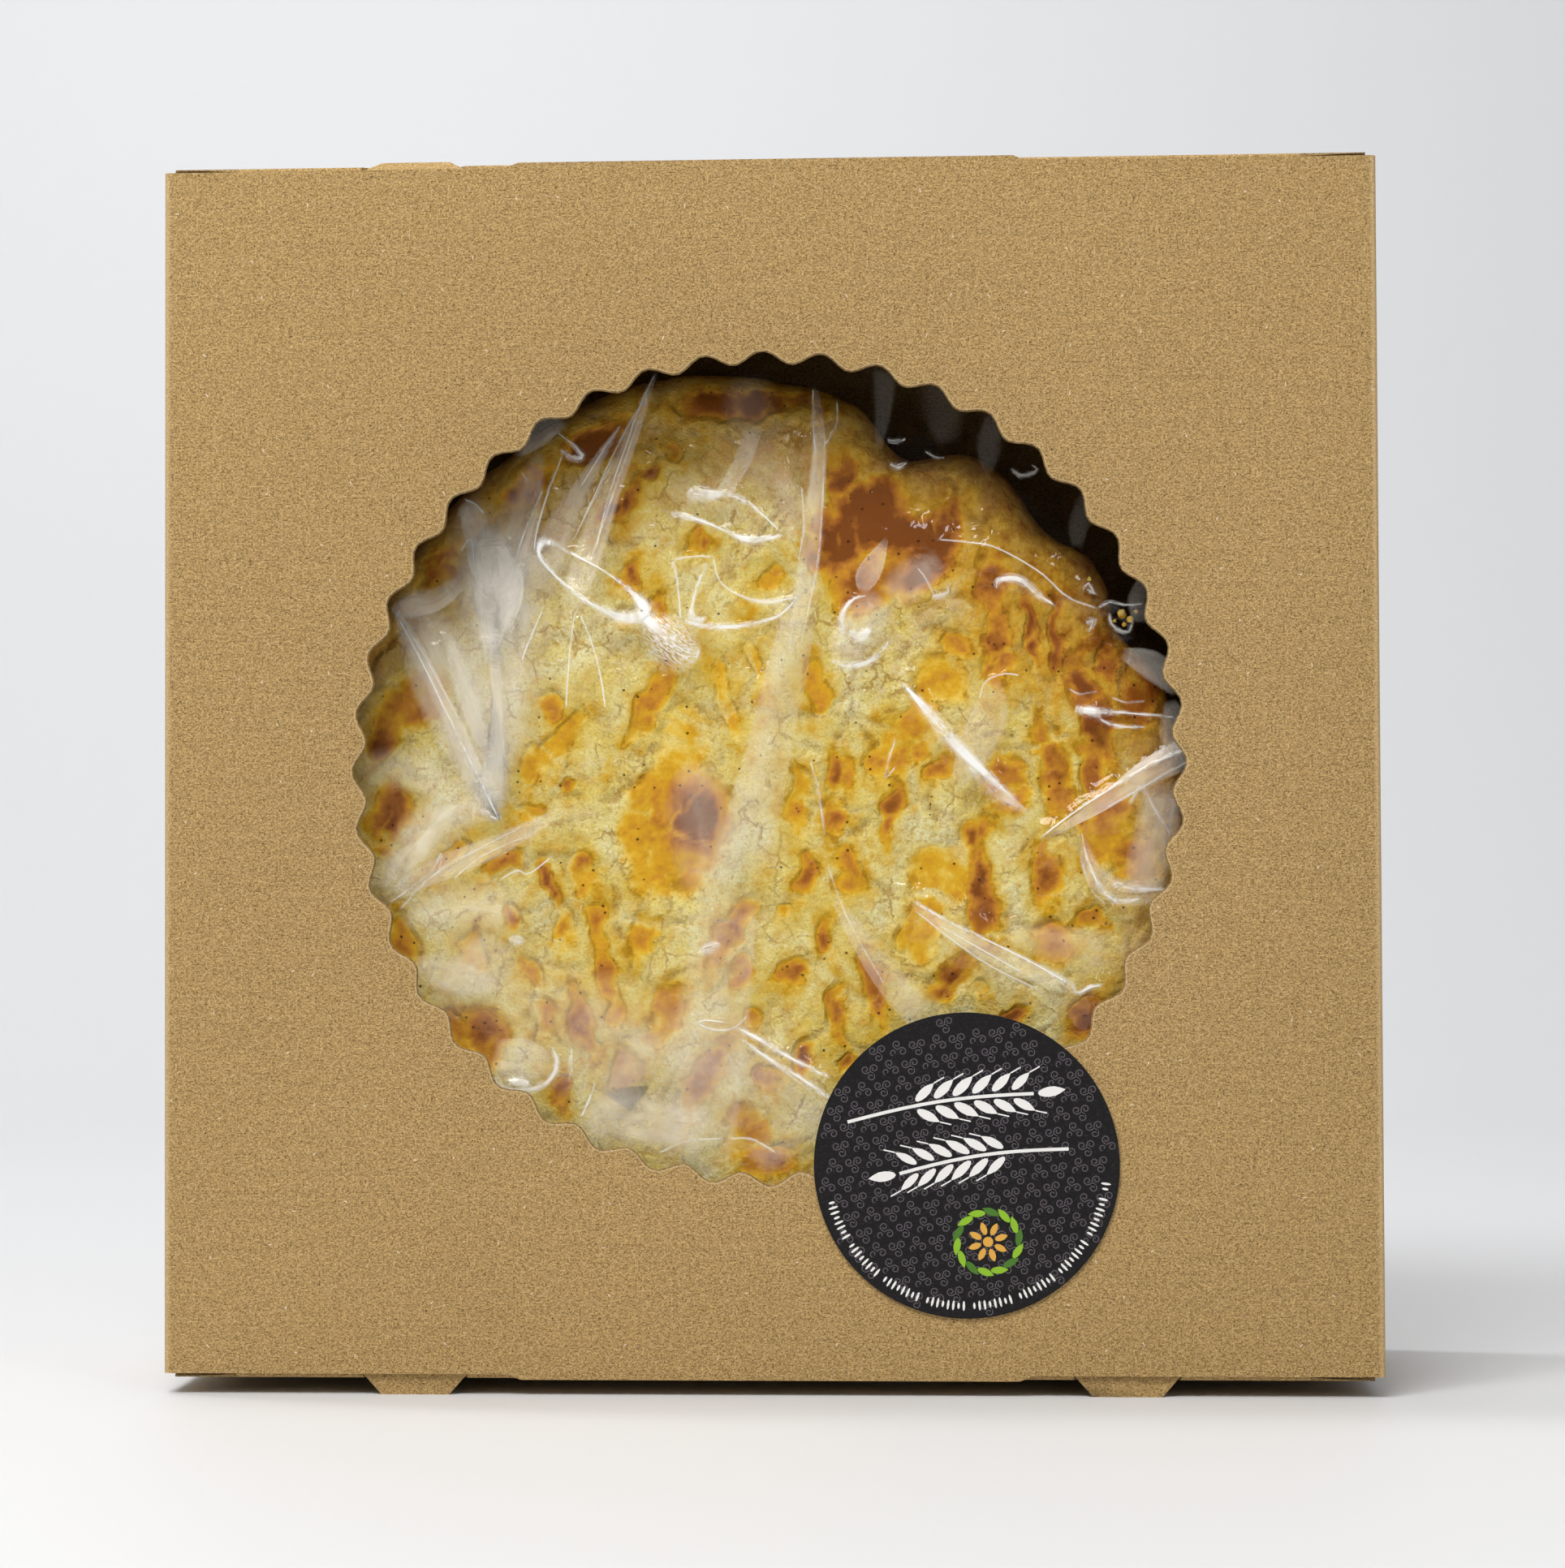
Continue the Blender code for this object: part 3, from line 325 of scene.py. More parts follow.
    (0.6, ((62, 35, 0.2), (62.5, 32.5, 0.3), (65, 31.5, 0.3), (66, 33.5, 0.2))),
    (0.6, ((58, 39, 0.2), (59.5, 38, 0.4), (58.5, 39.8, 0.2), (57.5, 38.5, 0.2))),
    (0.7, ((58, 33, 0.3), (59.3, 33.5, 0.5), (58.5, 31.5, 0.2))),
    (0.8, ((24.5, 65, 0.3), (26.5, 64.6, 0.35), (27.8, 65.2, 0.2))),
    (0.7, ((25, 60.8, 0.3), (26.5, 60.2, 0.4), (28, 61, 0.2))),
    (0.6, ((45.5, 60, 0.2), (47.5, 58.5, 0.4), (50, 59.5, 0.3), (49, 60.5, 0.2))),
    (0.5, ((31, 63, 0.2), (32.5, 62, 0.25), (34.5, 61.7, 0.2))),
    (0.6, ((-48, 55.5, 0.1), (-46, 54.5, 0.3), (-44, 52.5, 0.1))),
    (0.5, ((-38, 60, 0.2), (-37, 58.5, 0.3))),
    (0.4, ((-48.5, 46, 0.1), (-46.5, 48.5, 0.4), (-46, 44, 0.1))),
)


# Small helpers


def placed(origin, across, up, out):
    """The matrix from a flat piece's own axes (across, up, out of its face) to the frame."""
    return Matrix.Translation(origin) @ Matrix((across, up, out)).transposed().to_4x4()


def linear(code):
    """An sRGB hex colour as the linear colour that the shaders take."""
    parts = [int(code[i : i + 2], 16) / 255 for i in (0, 2, 4)]
    return tuple(p / 12.92 if p < 0.04045 else ((p + 0.055) / 1.055) ** 2.4 for p in parts) + (1.0,)


def fill(node, inputs):
    """Gives a node its inputs, values or sockets to link, in their order or by name or number."""
    for name, value in inputs.items() if isinstance(inputs, dict) else enumerate(inputs):
        if isinstance(value, bpy.types.NodeSocket):
            node.id_data.links.new(value, node.inputs[name])
        else:
            node.inputs[name].default_value = value


def add_node(tree, kind, inputs=(), out=0, **settings):
    """Adds a shader node with its settings and inputs, and gives back one of its outputs."""
    node = tree.nodes.new("ShaderNode" + kind)
    for name, value in settings.items():
        setattr(node, name, value)
    fill(node, inputs)
    return node.outputs[out]


def new_material(name):
    """A node material, add_node for its own nodes, and its Principled shader."""
    material = bpy.data.materials.new(name)
    material.use_nodes = True
    tree = material.node_tree
    return material, partial(add_node, tree), tree.nodes["Principled BSDF"]


def deselect():
    """Leaves object mode with nothing selected."""
    if bpy.context.object and bpy.context.object.mode != "OBJECT":
        bpy.ops.object.mode_set(mode="OBJECT")
    bpy.ops.object.select_all(action="DESELECT")


def make_active(thing):
    """Selects one object alone, for the operators."""
    deselect()
    thing.select_set(True)
    bpy.context.view_layer.objects.active = thing


def edit_edges(thing, chosen):
    """Opens an object's mesh with those edges selected whose two ends pass a test."""
    make_active(thing)
    bpy.ops.object.mode_set(mode="EDIT")
    bpy.ops.mesh.select_mode(type="EDGE")
    bpy.ops.mesh.select_all(action="DESELECT")
    bpy.ops.object.mode_set(mode="OBJECT")
    for edge in thing.data.edges:
        edge.select = bool(chosen(*(thing.data.vertices[v].co for v in edge.vertices)))
    bpy.ops.object.mode_set(mode="EDIT")


def clean_mesh():
    """Welds the open mesh's double points and joins its flat faces."""
    bpy.ops.mesh.select_all(action="SELECT")
    bpy.ops.mesh.remove_doubles(threshold=TINY)
    bpy.ops.mesh.dissolve_limited(angle_limit=math.radians(0.5))


def settle(thing):
    """Puts an object's place, turn and scale into its mesh."""
    make_active(thing)
    bpy.ops.object.transform_apply(location=True, rotation=True, scale=True)


def new_object(name, data):
    """Puts new data into the scene as an object."""
    thing = bpy.data.objects.new(name, data)
    bpy.context.scene.collection.objects.link(thing)
    return thing


def dress(thing, name, materials, slot, *nodes):
    """Names a finished piece, gives it its materials, hangs it on the root body and hides the solids it
    stands for. The slot is not used.
    """
    thing.name = name
    thing.data.name = name
    thing.data.materials.clear()
    for material in materials:
        thing.data.materials.append(material)
    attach(thing, "root")
    if nodes:
        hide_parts(*nodes)


def coordinates(mesh):
    """All of a mesh's points as rows."""
    flat = np.zeros(len(mesh.vertices) * 3, np.float32)
    mesh.vertices.foreach_get("co", flat)
    return flat.reshape(-1, 3).astype(float)


def put_coordinates(mesh, points):
    """Moves all of a mesh's points."""
    mesh.vertices.foreach_set("co", np.ascontiguousarray(points, np.float32).ravel())
    mesh.update()


def put_attributes(mesh, **rows):
    """Keeps numbers for the shader at each point, by their name."""
    for name, values in rows.items():
        layer = mesh.attributes.new(name, "FLOAT", "POINT")
        values = np.broadcast_to(values, len(mesh.vertices))
        layer.data.foreach_set("value", np.ascontiguousarray(values, np.float32))


def ease(values):
    """A soft step from 0 to 1."""
    values = np.clip(values, 0.0, 1.0)
    return values * values * (3 - 2 * values)


def grain(points, size, octaves=1, shift=0.0):
    """Soft noise from about -1 to 1 at each point, with features of that size."""
    move = Vector((shift,) * 3)
    return np.array([noise.fractal(Vector(point) / size + move, 1.0, 2.0, octaves) for point in points])


def cells(points, size, shift=0.0):
    """How far each point is from the border between two cells of a cracked pattern, 0 on the border."""
    move = Vector((shift,) * 3)
    near = [noise.voronoi(Vector(point) / size + move)[0] for point in points]
    return np.array([second - first for first, second, *_ in near])


def stroke_reach(points, start, end, half_width):
    """Distance from a straight stroke between two places in mm, as a share of its half width."""
    start, run = np.array(start) * MM, (np.array(end) - np.array(start)) * MM
    part = np.clip(((points - start) @ run) / (run @ run), 0, 1)
    return np.linalg.norm(points - start - part[:, None] * run, axis=1) / half_width


def line_reach(points, run):
    """Distance from a bent line given in mm, and how far along it the nearest place is, from 0 to 1."""
    line = np.array(run, float)[:, :2] * MM
    steps = np.linalg.norm(np.diff(line, axis=0), axis=1)
    marks = np.concatenate(([0], np.cumsum(steps))) / steps.sum()
    best, along = np.full(len(points), 1e9), np.zeros(len(points))
    for i in range(len(steps)):
        way = line[i + 1] - line[i]
        part = np.clip(((points - line[i]) @ way) / (way @ way), 0, 1)
        away = np.linalg.norm(points - line[i] - part[:, None] * way, axis=1)
        closer = away < best
        best[closer] = away[closer]
        along[closer] = (marks[i] + part * (marks[i + 1] - marks[i]))[closer]
    return best, along


def round_grid(cuts, radius):
    """A fine grid drawn out to a disc in the XY plane. Its points keep their order when rows are added."""
    deselect()
    bpy.ops.mesh.primitive_grid_add(x_subdivisions=cuts, y_subdivisions=cuts, size=2)
    disc = bpy.context.object
    points = coordinates(disc.data)
    x, y = points[:, 0].copy(), points[:, 1].copy()
    points[:, 0] = radius * x * np.sqrt(1 - y * y / 2)
    points[:, 1] = radius * y * np.sqrt(1 - x * x / 2)
    put_coordinates(disc.data, points)
    return disc, len(points)


def extrude_border(thing, rows):
    """Draws a sheet's border out in rows of (scale, drop in mm), and leaves the mesh open for more."""
    make_active(thing)
    bpy.ops.object.mode_set(mode="EDIT")
    bpy.ops.mesh.select_mode(type="EDGE")
    bpy.ops.mesh.select_all(action="SELECT")
    bpy.ops.mesh.region_to_loop()
    for scale, drop in rows:
        bpy.ops.mesh.extrude_region_move(TRANSFORM_OT_translate={"value": (0, 0, -drop * MM)})
        bpy.ops.transform.resize(value=(scale, scale, 1), center_override=(0, 0, 0))


# From the cake's own axes to the frame, and from the label's
CAKE_AXES = placed(
    CAKE_FACE,
    (1, 0, 0),
    (0, math.sin(CAKE_LEAN), math.cos(CAKE_LEAN)),
    (0, -math.cos(CAKE_LEAN), math.sin(CAKE_LEAN)),
)
LABEL_AXES = placed(
    (LABEL_X, LABEL_BACK, LABEL_HEIGHT),
    (math.cos(LABEL_TILT), 0, math.sin(LABEL_TILT)),
    (-math.sin(LABEL_TILT), 0, math.cos(LABEL_TILT)),
    (0, -1, 0),
)


# Materials


def tint(add, under, mask, strength, over):
    """Lays a colour over another where a mask says."""
    part = add("Math", [mask, strength], operation="MULTIPLY")
    return add("Mix", {0: part, 6: under, 7: over}, 2, data_type="RGBA")


def strewn(add, place, spacing, length, width, share, shift):
    """Mask of short straight fibres or specks on a flat pattern, one to a cell, each turned its own way."""
    moved = add("VectorMath", [place, (shift, 0.7 * shift, 0)], operation="ADD")
    cell = add("TexVoronoi", {"Vector": moved, "Scale": 1 / spacing}, voronoi_dimensions="2D").node.outputs
    offset = add("VectorMath", [moved, cell["Position"]], operation="SUBTRACT")
    chance = add("SeparateColor", [cell["Color"]]).node.outputs
    angle = add("Math", [chance["Red"], math.tau], operation="MULTIPLY")
    turned = add("VectorRotate", {"Vector": offset, "Angle": angle}, rotation_type="Z_AXIS")
    drawn = add("VectorMath", [turned, (2 / length, 2 / width, 0)], operation="MULTIPLY")
    reach = add("VectorMath", [drawn], "Value", operation="LENGTH")
    inside = add("MapRange", [reach, 0.5, 1.0, 1.0, 0.0])
    chosen = add("Math", [chance["Green"], share], operation="LESS_THAN")
    return add("Math", [inside, chosen], operation="MULTIPLY")


def fold_highlight_and_wear(add, colour):
    """Pales the board along its four upright folds: stretched fibres, and a painted highlight of the rounded
    fold.
    """
    axes = add("SeparateXYZ", [add("TexCoord", out="Object")]).node.outputs
    masks = []
    for axis, centre, half in (("X", 0.0, HALF_WIDTH), ("Y", (FRONT + BACK) / 2, (BACK - FRONT) / 2)):
        moved = add("Math", [axes[axis], centre], operation="SUBTRACT")
        away = add("Math", [moved], operation="ABSOLUTE")
        masks.append(add("MapRange", [away, half - 1.2 * MM, half - 0.6 * MM]))
    both = add("Math", masks, operation="MULTIPLY")
    return tint(add, colour, both, 0.45, linear("d9bd8f"))


def kraft_board(name, ply=None):
    """Uncoated brown kraft board, pressed from long unbleached fibres, or a copy tinted as painted light.

    To the eye it is a dull sand colour with a dense, slightly level grain, short fibres pale and dark,
    a few white flecks and bark specks, and a paler line along each scored fold, partly stretched fibres
    and partly a painted highlight of the fold's rounding.
    """
    material, add, shader = new_material(name)
    flat = add("UVMap", uv_map="board")
    colour = linear("a1793d")
    reliefs = []
    # Size across and along the grain (mm), detail, roughness, where dark starts, two colours, share
    for across, along, detail, rough, low, dark, light, share in (
        (34, 22, 2.0, 0.5, 0.35, "976f36", "ac8445", 0.5),
        (30, 1.3, 3.0, 0.5, 0.36, "785526", "c29a58", 0.34),
        (2.6, 1.5, 3.0, 0.5, 0.36, "644215", "cea668", 0.36),
        (0.75, 0.42, 4.0, 0.7, 0.36, "3f260c", "e7c280", 0.56),
        (0.30, 0.24, 2.0, 0.5, 0.34, "341f0a", "ebca8c", 0.46),
    ):
        place = add("Mapping", {"Vector": flat, "Scale": (1 / (across * MM), 1 / (along * MM), 1)})
        relief = add("TexNoise", {"Vector": place, "Scale": 1, "Detail": detail, "Roughness": rough})
        shade = add("MapRange", [relief, low, 1 - low])
        hue = add("Mix", {0: shade, 6: linear(dark), 7: linear(light)}, 2, data_type="RGBA")
        colour = add("Mix", {0: share, 6: colour, 7: hue}, 2, data_type="RGBA")
        reliefs.append(relief)
    bend = add("TexNoise", {"Vector": flat, "Scale": 1 / (3 * MM)}, "Color")
    bent = add("VectorMath", [bend, (0.8 * MM,) * 3, flat], operation="MULTIPLY_ADD")
    # Spacing, length, width (mm), share of the cells, colour and strength
    fibres = (
        (0.9, 1.1, 0.15, 0.8, "d2b386", 0.42),
        (1.0, 1.2, 0.15, 0.8, "6b4822", 0.38),
        (1.9, 2.3, 0.15, 0.6, "dbc093", 0.50),
        (2.5, 2.5, 0.14, 0.6, "5e3e1b", 0.46),
        (8.0, 0.8, 0.28, 0.40, "e5d5bb", 0.85),
        (6.0, 0.45, 0.34, 0.35, "372410", 0.75),
        (23.0, 3.6, 0.18, 0.25, "4f3619", 0.55),
        (17.0, 3.4, 0.14, 0.35, "dfc7a1", 0.60),
    )
    for number, (spacing, length, width, share, hue, strength) in enumerate(fibres, 1):
        mask = strewn(add, bent, spacing * MM, length * MM, width * MM, share, 0.037 * number)
        colour = tint(add, colour, mask, strength, linear(hue))
    # A ply colour tints the whole board as painted highlight or painted shade; without one, the folds are
    # paled
    colour = tint(add, colour, 1.0, 0.35, linear(ply)) if ply else fold_highlight_and_wear(add, colour)
    bump = add("Bump", {"Strength": 0.5, "Distance": 0.14 * MM, "Height": reliefs[3]})
    fill(shader, {"Base Color": colour, "Normal": bump, "Roughness": 0.9, "Specular IOR Level": 0.2})
    return material


def baked_dough():
    """Butter dough, egg-glazed and baked.

    To the eye the broken ridges are pale yellow, dry and crumbly, with ragged tears. The smooth glazed
    patches between them run from yellow through gold to brown, with dark pin holes.
    """
    material, add, shader = new_material("baked_butter_dough")
    place = add("TexCoord", out="Object")
    bake, glaze, crust, torn = (
        add("Attribute", out="Fac", attribute_name=name) for name in ("bake", "glaze", "crust", "torn")
    )
    # Size (mm), detail and roughness of each noise
    fine, crumb, wander, blotch, warmth, patchy, broad = (
        add("TexNoise", {"Vector": place, "Scale": 1 / (size * MM), "Detail": detail, "Roughness": rough})
        for size, detail, rough in (
            (0.42, 3.0, 0.7),
            (0.9, 5.0, 0.7),
            (1.8, 4.0, 0.7),
            (2.6, 5.0, 0.62),
            (5.0, 4.0, 0.6),
            (6.5, 2.0, 0.5),
            (9.0, 3.0, 0.5),
        )
    )
    # Crumbly dough: butter yellow in broad patches, cream on its grains and darker in its hollows, golden on
    # its rim
    mottle = add("MapRange", [blotch, 0.3, 0.7, -1.0, 1.0])
    baked = add("Math", [mottle, 0.32, crust], operation="MULTIPLY_ADD")
    golden = add("MapRange", [baked, -0.02, 0.72, 0.0, 0.78])
    colour = linear("f6eeb4")
    # The blotch, crumb and fine noises also raise the bump, so their pale tops and dark hollows are partly
    # painted highlight and shade
    for value, low, high, share, hue in (
        (broad, 0.40, 0.60, 1.0, "f0da80"),
        (blotch, 0.50, 0.68, 0.70, "faf5d2"),
        (blotch, 0.46, 0.34, 0.60, "e6cd64"),
        (crumb, 0.47, 0.36, 0.65, "cda63e"),
        (fine, 0.54, 0.66, 0.60, "fffbe4"),
        (fine, 0.46, 0.34, 0.50, "c29a38"),
        (golden, 0.0, 1.0, 1.0, "c8850e"),
    ):
        colour = tint(add, colour, add("MapRange", [value, low, high]), share, linear(hue))
    # Colour that the glaze took in the oven, from pale yellow to dark brown
    heat = add("Math", [mottle, 0.10, bake], operation="MULTIPLY_ADD")
    heat = add("Math", [heat, add("MapRange", [warmth, 0.3, 0.7, -0.09, 0.09])], operation="ADD")
    ramp = add("ValToRGB", [add("Math", [golden, 0.2, heat], operation="MULTIPLY_ADD")])
    bands = ramp.node.color_ramp.elements
    stops = (0.0, 0.20, 0.36, 0.50, 0.64, 0.80, 1.0)
    hues = ("f2e494", "ebd060", "e2b62e", "d6a022", "c58628", "a96722", "7d4412")
    while len(bands) < len(stops):
        bands.new(0.5)
    for band, stop, hue in zip(bands, stops, hues):
        band.position = stop
        band.color = linear(hue)
    colour = tint(add, colour, add("MapRange", [heat, 0.02, 0.42]), 1.0, ramp)
    colour = tint(add, colour, add("MapRange", [baked, 0.78, 1.25]), 0.85, linear("8e4a08"))
    # Ragged tears and cracks, olive and darker: partly the dough's colour, partly painted shade of their
    # depth
    wander = wander.node.outputs["Color"]
    bent = add("VectorMath", [wander, (2.4 * MM,) * 3, place], operation="MULTIPLY_ADD")
    border = add("TexVoronoi", {"Vector": bent, "Scale": 1 / (4.6 * MM)}, feature="DISTANCE_TO_EDGE")
    tears = 0.8
    for value, low, high in ((border, 0.06, 0.015), (patchy, 0.49, 0.56), (heat, 0.40, 0.10)):
        tears = add("Math", [tears, add("MapRange", [value, low, high])], operation="MULTIPLY")
    ragged = add("Math", [torn, add("MapRange", [crumb, 0.36, 0.58, 1.0, 0.35])], operation="MULTIPLY")
    tears = add("Math", [tears, ragged], operation="MAXIMUM")
    # Crumbly rims where the dough broke away round the glazed patches, darkened partly as painted shade
    rim = add("Math", [glaze, add("MapRange", [crumb, 0.3, 0.7, -0.62, -0.08])], operation="ADD")
    rim = add("MapRange", [add("Math", [rim], operation="ABSOLUTE"), 0.10, 0.02])
    rim = add("Math", [rim, add("MapRange", [blotch, 0.46, 0.56])], operation="MULTIPLY")
    # Dark pin holes, more of them where the glaze is darker; their darkness is partly painted shade
    pit = add("TexVoronoi", {"Vector": place, "Scale": 1 / (1.8 * MM)})
    chance = add("SeparateColor", [pit.node.outputs["Color"]])
    chosen = add("Math", [chance, add("MapRange", [heat, 0.2, 0.7, 0.08, 0.7])], operation="LESS_THAN")
    holes = add("Math", [add("MapRange", [pit, 0.16, 0.08]), chosen], operation="MULTIPLY")
    for mask, share, hue in ((tears, 0.8, "a87612"), (rim, 0.35, "9a7420"), (holes, 0.85, "48260e")):
        colour = tint(add, colour, mask, share, linear(hue))
    # Coarse and fine crumb in the bump, nearly smooth where the dough is glazed
    height = 0.0
    for value, dry, glazed in ((crumb, 1.0, 0.18), (blotch, 0.6, 0.1), (fine, 0.35, 0.08)):
        share = add("MapRange", [glaze, 0.15, 0.7, dry, glazed])
        height = add("Math", [value, share, height], operation="MULTIPLY_ADD")
    for mask, depth in ((tears, 0.22), (rim, 0.22), (holes, 0.4)):
        height = add("Math", [mask, -depth, height], operation="MULTIPLY_ADD")
    bump = add("Bump", {"Strength": 0.75, "Distance": 0.8 * MM, "Height": height})
    rough = add("MapRange", [glaze, 0.2, 0.8, 0.85, 0.5])
    fill(shader, {"Base Color": colour, "Normal": bump, "Roughness": rough, "Specular IOR Level": 0.12})
    return material


def clear_film():
    """Crumpled cellophane.

    To the eye it is clear with sharp glints, and faintly cloudy where it is slack. A clear sheet
    sends back about a tenth of the light like a mirror, so that share is kept as alpha.
    """
    material, add, shader = new_material("crumpled_cellophane")
    haze = add("Attribute", out="Fac", attribute_name="haze")
    place = add("TexCoord", out="Object")
    crinkle = add("TexNoise", {"Vector": place, "Scale": 1 / (4.0 * MM), "Detail": 2.0, "Distortion": 0.6})
    ridge = add("Math", [add("Math", [crinkle, 0.5], operation="SUBTRACT")], operation="ABSOLUTE")
    inputs = {
        "Base Color": linear("f2eeec"),
        "Alpha": add("MapRange", [haze, 0.0, 1.0, 0.032, 0.85]),
        "Metallic": add("MapRange", [haze, 0.0, 0.35, 1.0, 0.15]),
        "Roughness": add("MapRange", [haze, 0.0, 0.5, 0.06, 0.4]),
        "Normal": add("Bump", {"Strength": 0.5, "Distance": 1.0 * MM, "Height": ridge}),
    }
    fill(shader, inputs)
    return material


def streaks(add, along, aside, lane, length, width, distortion):
    """Noise drawn out along a strip of film, its features that long and wide in mm."""
    rows = add("Math", [along, length * MM], operation="DIVIDE")
    columns = add("Math", [aside, width * MM], operation="DIVIDE")
    place = add("CombineXYZ", [rows, columns, lane])
    return add("TexNoise", {"Vector": place, "Scale": 1, "Detail": 3.0, "Distortion": distortion})


def doubled_film():
    """The same film where folds lay two or three sheets together.

    To the eye it is a milky veil with fine streaks along the fold, partly the sheets' own cloudiness and
    partly a painted reflection of the soft light, and a bright thin line on its edge that is a painted
    highlight.
    """
    material, add, shader = new_material("folded_cellophane")
    cloud, reach, along, half, soft_left, soft_right = (
        add("Attribute", out="Fac", attribute_name=name)
        for name in ("cloud", "reach", "along", "half", "soft_left", "soft_right")
    )
    aside = add("Math", [reach, half], operation="MULTIPLY")
    # body is the milky veil, partly painted reflection; line is the painted highlight along each crisp edge
    body, line = cloud, 0.0
    for side, softness in ((1, soft_left), (-1, soft_right)):
        inward = add("Math", [reach, side, 1.0], operation="MULTIPLY_ADD")
        near = add("MapRange", [add("Math", [inward, half], operation="MULTIPLY"), 0.28 * MM, 0.0])
        sharp = add("MapRange", [softness, 0.3, 0.0])
        line = add("Math", [line, add("Math", [near, sharp], operation="MULTIPLY")], operation="MAXIMUM")
        fade = add("Math", [inward, softness], operation="DIVIDE", use_clamp=True)
        body = add("Math", [body, fade], operation="MULTIPLY")
    # Long soft streaks, fine ones, broad clouds, froth in the milkiest veils, and gaps in the edge's painted
    # highlight
    patterns = []
    for length, width, shift, *limits in (
        (45, 3.4, 0, 0.35, 0.65, 0.80, 1.04),
        (25, 0.8, 3, 0.35, 0.65, 0.92, 1.05),
        (12, 8, 7, 0.35, 0.65, 0.72, 1.08),
        (5, 2.2, 15, 0.36, 0.60, -0.75, 0.15),
        (6, 40, 11, 0.42, 0.62, 0.1, 0.9),
    ):
        lane = add("Math", [cloud, 40.0, shift], operation="MULTIPLY_ADD")
        patterns.append(add("MapRange", [streaks(add, along, aside, lane, length, width, 0.3), *limits]))
    *veiling, froth, gaps = patterns
    froth = add("Math", [cloud, froth, 1.0], operation="MULTIPLY_ADD")
    for part in (*veiling, froth):
        body = add("Math", [body, part], operation="MULTIPLY")
    for part in (gaps, cloud, 1.2):
        line = add("Math", [line, part], operation="MULTIPLY")
    alpha = add("Math", [body, line], operation="ADD", use_clamp=True)
    fill(shader, {"Base Color": linear("fff8ea"), "Roughness": 0.35, "Alpha": alpha})
    return material


def painted_crease_highlight():
    """Painted highlight on the film's hard ridges, as they mirror the lamps: a white line in a faint
    sparkle.
    """
    material, add, shader = new_material("film_crease_painted_highlight")
    shine, reach, along, half = (
        add("Attribute", out="Fac", attribute_name=name) for name in ("shine", "reach", "along", "half")
    )
    aside = add("Math", [reach, half], operation="MULTIPLY")
    lane = add("Math", [shine, 9], operation="MULTIPLY")
    wide = add("Math", [half, 0.55, -0.2 * MM], operation="MULTIPLY_ADD")
    wide = add("Math", [wide, 0.13 * MM], operation="MAXIMUM")
    wide = add("Math", [wide, 0.9 * MM], operation="MINIMUM")
    across, away = (add("Math", [value], operation="ABSOLUTE") for value in (reach, aside))
    core, glow = 1.0, 0.8
    for value, *limits in (
        (add("Math", [away, wide], operation="DIVIDE"), 1.5, 0.4),
        (streaks(add, along, aside, lane, 7, 60, 0.0), 0.38, 0.56, 0.35, 1.0),
        (half, 5.6 * MM, 3.0 * MM, 0.45, 1.0),
    ):
        part = add("MapRange", [value, *limits], interpolation_type="SMOOTHSTEP")
        core = add("Math", [core, part], operation="MULTIPLY")
    for value, *limits in (
        (across, 1.0, 0.0),
        (streaks(add, along, aside, lane, 1.1, 0.3, 0.0), 0.42, 0.58, 0.12, 1.0),
    ):
        part = add("MapRange", [value, *limits], interpolation_type="SMOOTHSTEP")
        glow = add("Math", [glow, part], operation="MULTIPLY")
    # The painted highlight's strength: a white core, or a faint sparkle round it
    alpha = add("Math", [shine, add("Math", [core, glow], operation="MAXIMUM")], operation="MULTIPLY")
    inputs = {"Base Color": linear("fffefa"), "Roughness": 0.2, "Specular IOR Level": 1.0, "Alpha": alpha}
    fill(shader, inputs)
    return material


def print_on_paper(name, code, speck=0.0, roughness=0.5):
    """Satin ink on label paper. Its colour is even, with the paper's faint tooth in its gloss."""
    material, add, shader = new_material(name)
    place = add("TexCoord", out="Object")
    tooth = add("TexNoise", {"Vector": place, "Scale": 1 / (0.35 * MM), "Detail": 2.0})
    colour = tint(add, linear(code), add("MapRange", [tooth, 0.55, 0.75]), speck, linear("8a8488"))
    bump = add("Bump", {"Strength": 0.15, "Distance": 0.05 * MM, "Height": tooth})
    inputs = {"Base Color": colour, "Normal": bump, "Roughness": roughness, "Specular IOR Level": 0.3}
    fill(shader, inputs)
    return material


# Carton


def flat_pattern(mesh):
    """Gives the board its flat pattern, drawn from the side that each face looks to."""
    flat = mesh.uv_layers.new(name="board")
    for face in mesh.polygons:
        normal = face.normal
        axis = max(range(3), key=lambda i: abs(normal[i]))
        across, along = ((1, 2), (0, 2), (0, 1))[axis]
        shift = 0.31 * axis + (0.17 if normal[axis] > 0 else 0.0)
        for loop in face.loop_indices:
            point = mesh.vertices[mesh.loops[loop].vertex_index].co
            flat.data[loop].uv = (point[across] + shift, point[along])


def at_window_rim(*ends):
    """Whether an edge runs round the window on the front panel's outer face."""
    on_front = all(abs(end.y - FRONT) < 0.01 * MM for end in ends)
    reach = max(math.hypot(end.x, end.z - WINDOW_HEIGHT) for end in ends)
    return on_front and reach < WINDOW_RADIUS + 3 * MM and math.dist(*ends) < 3 * MM


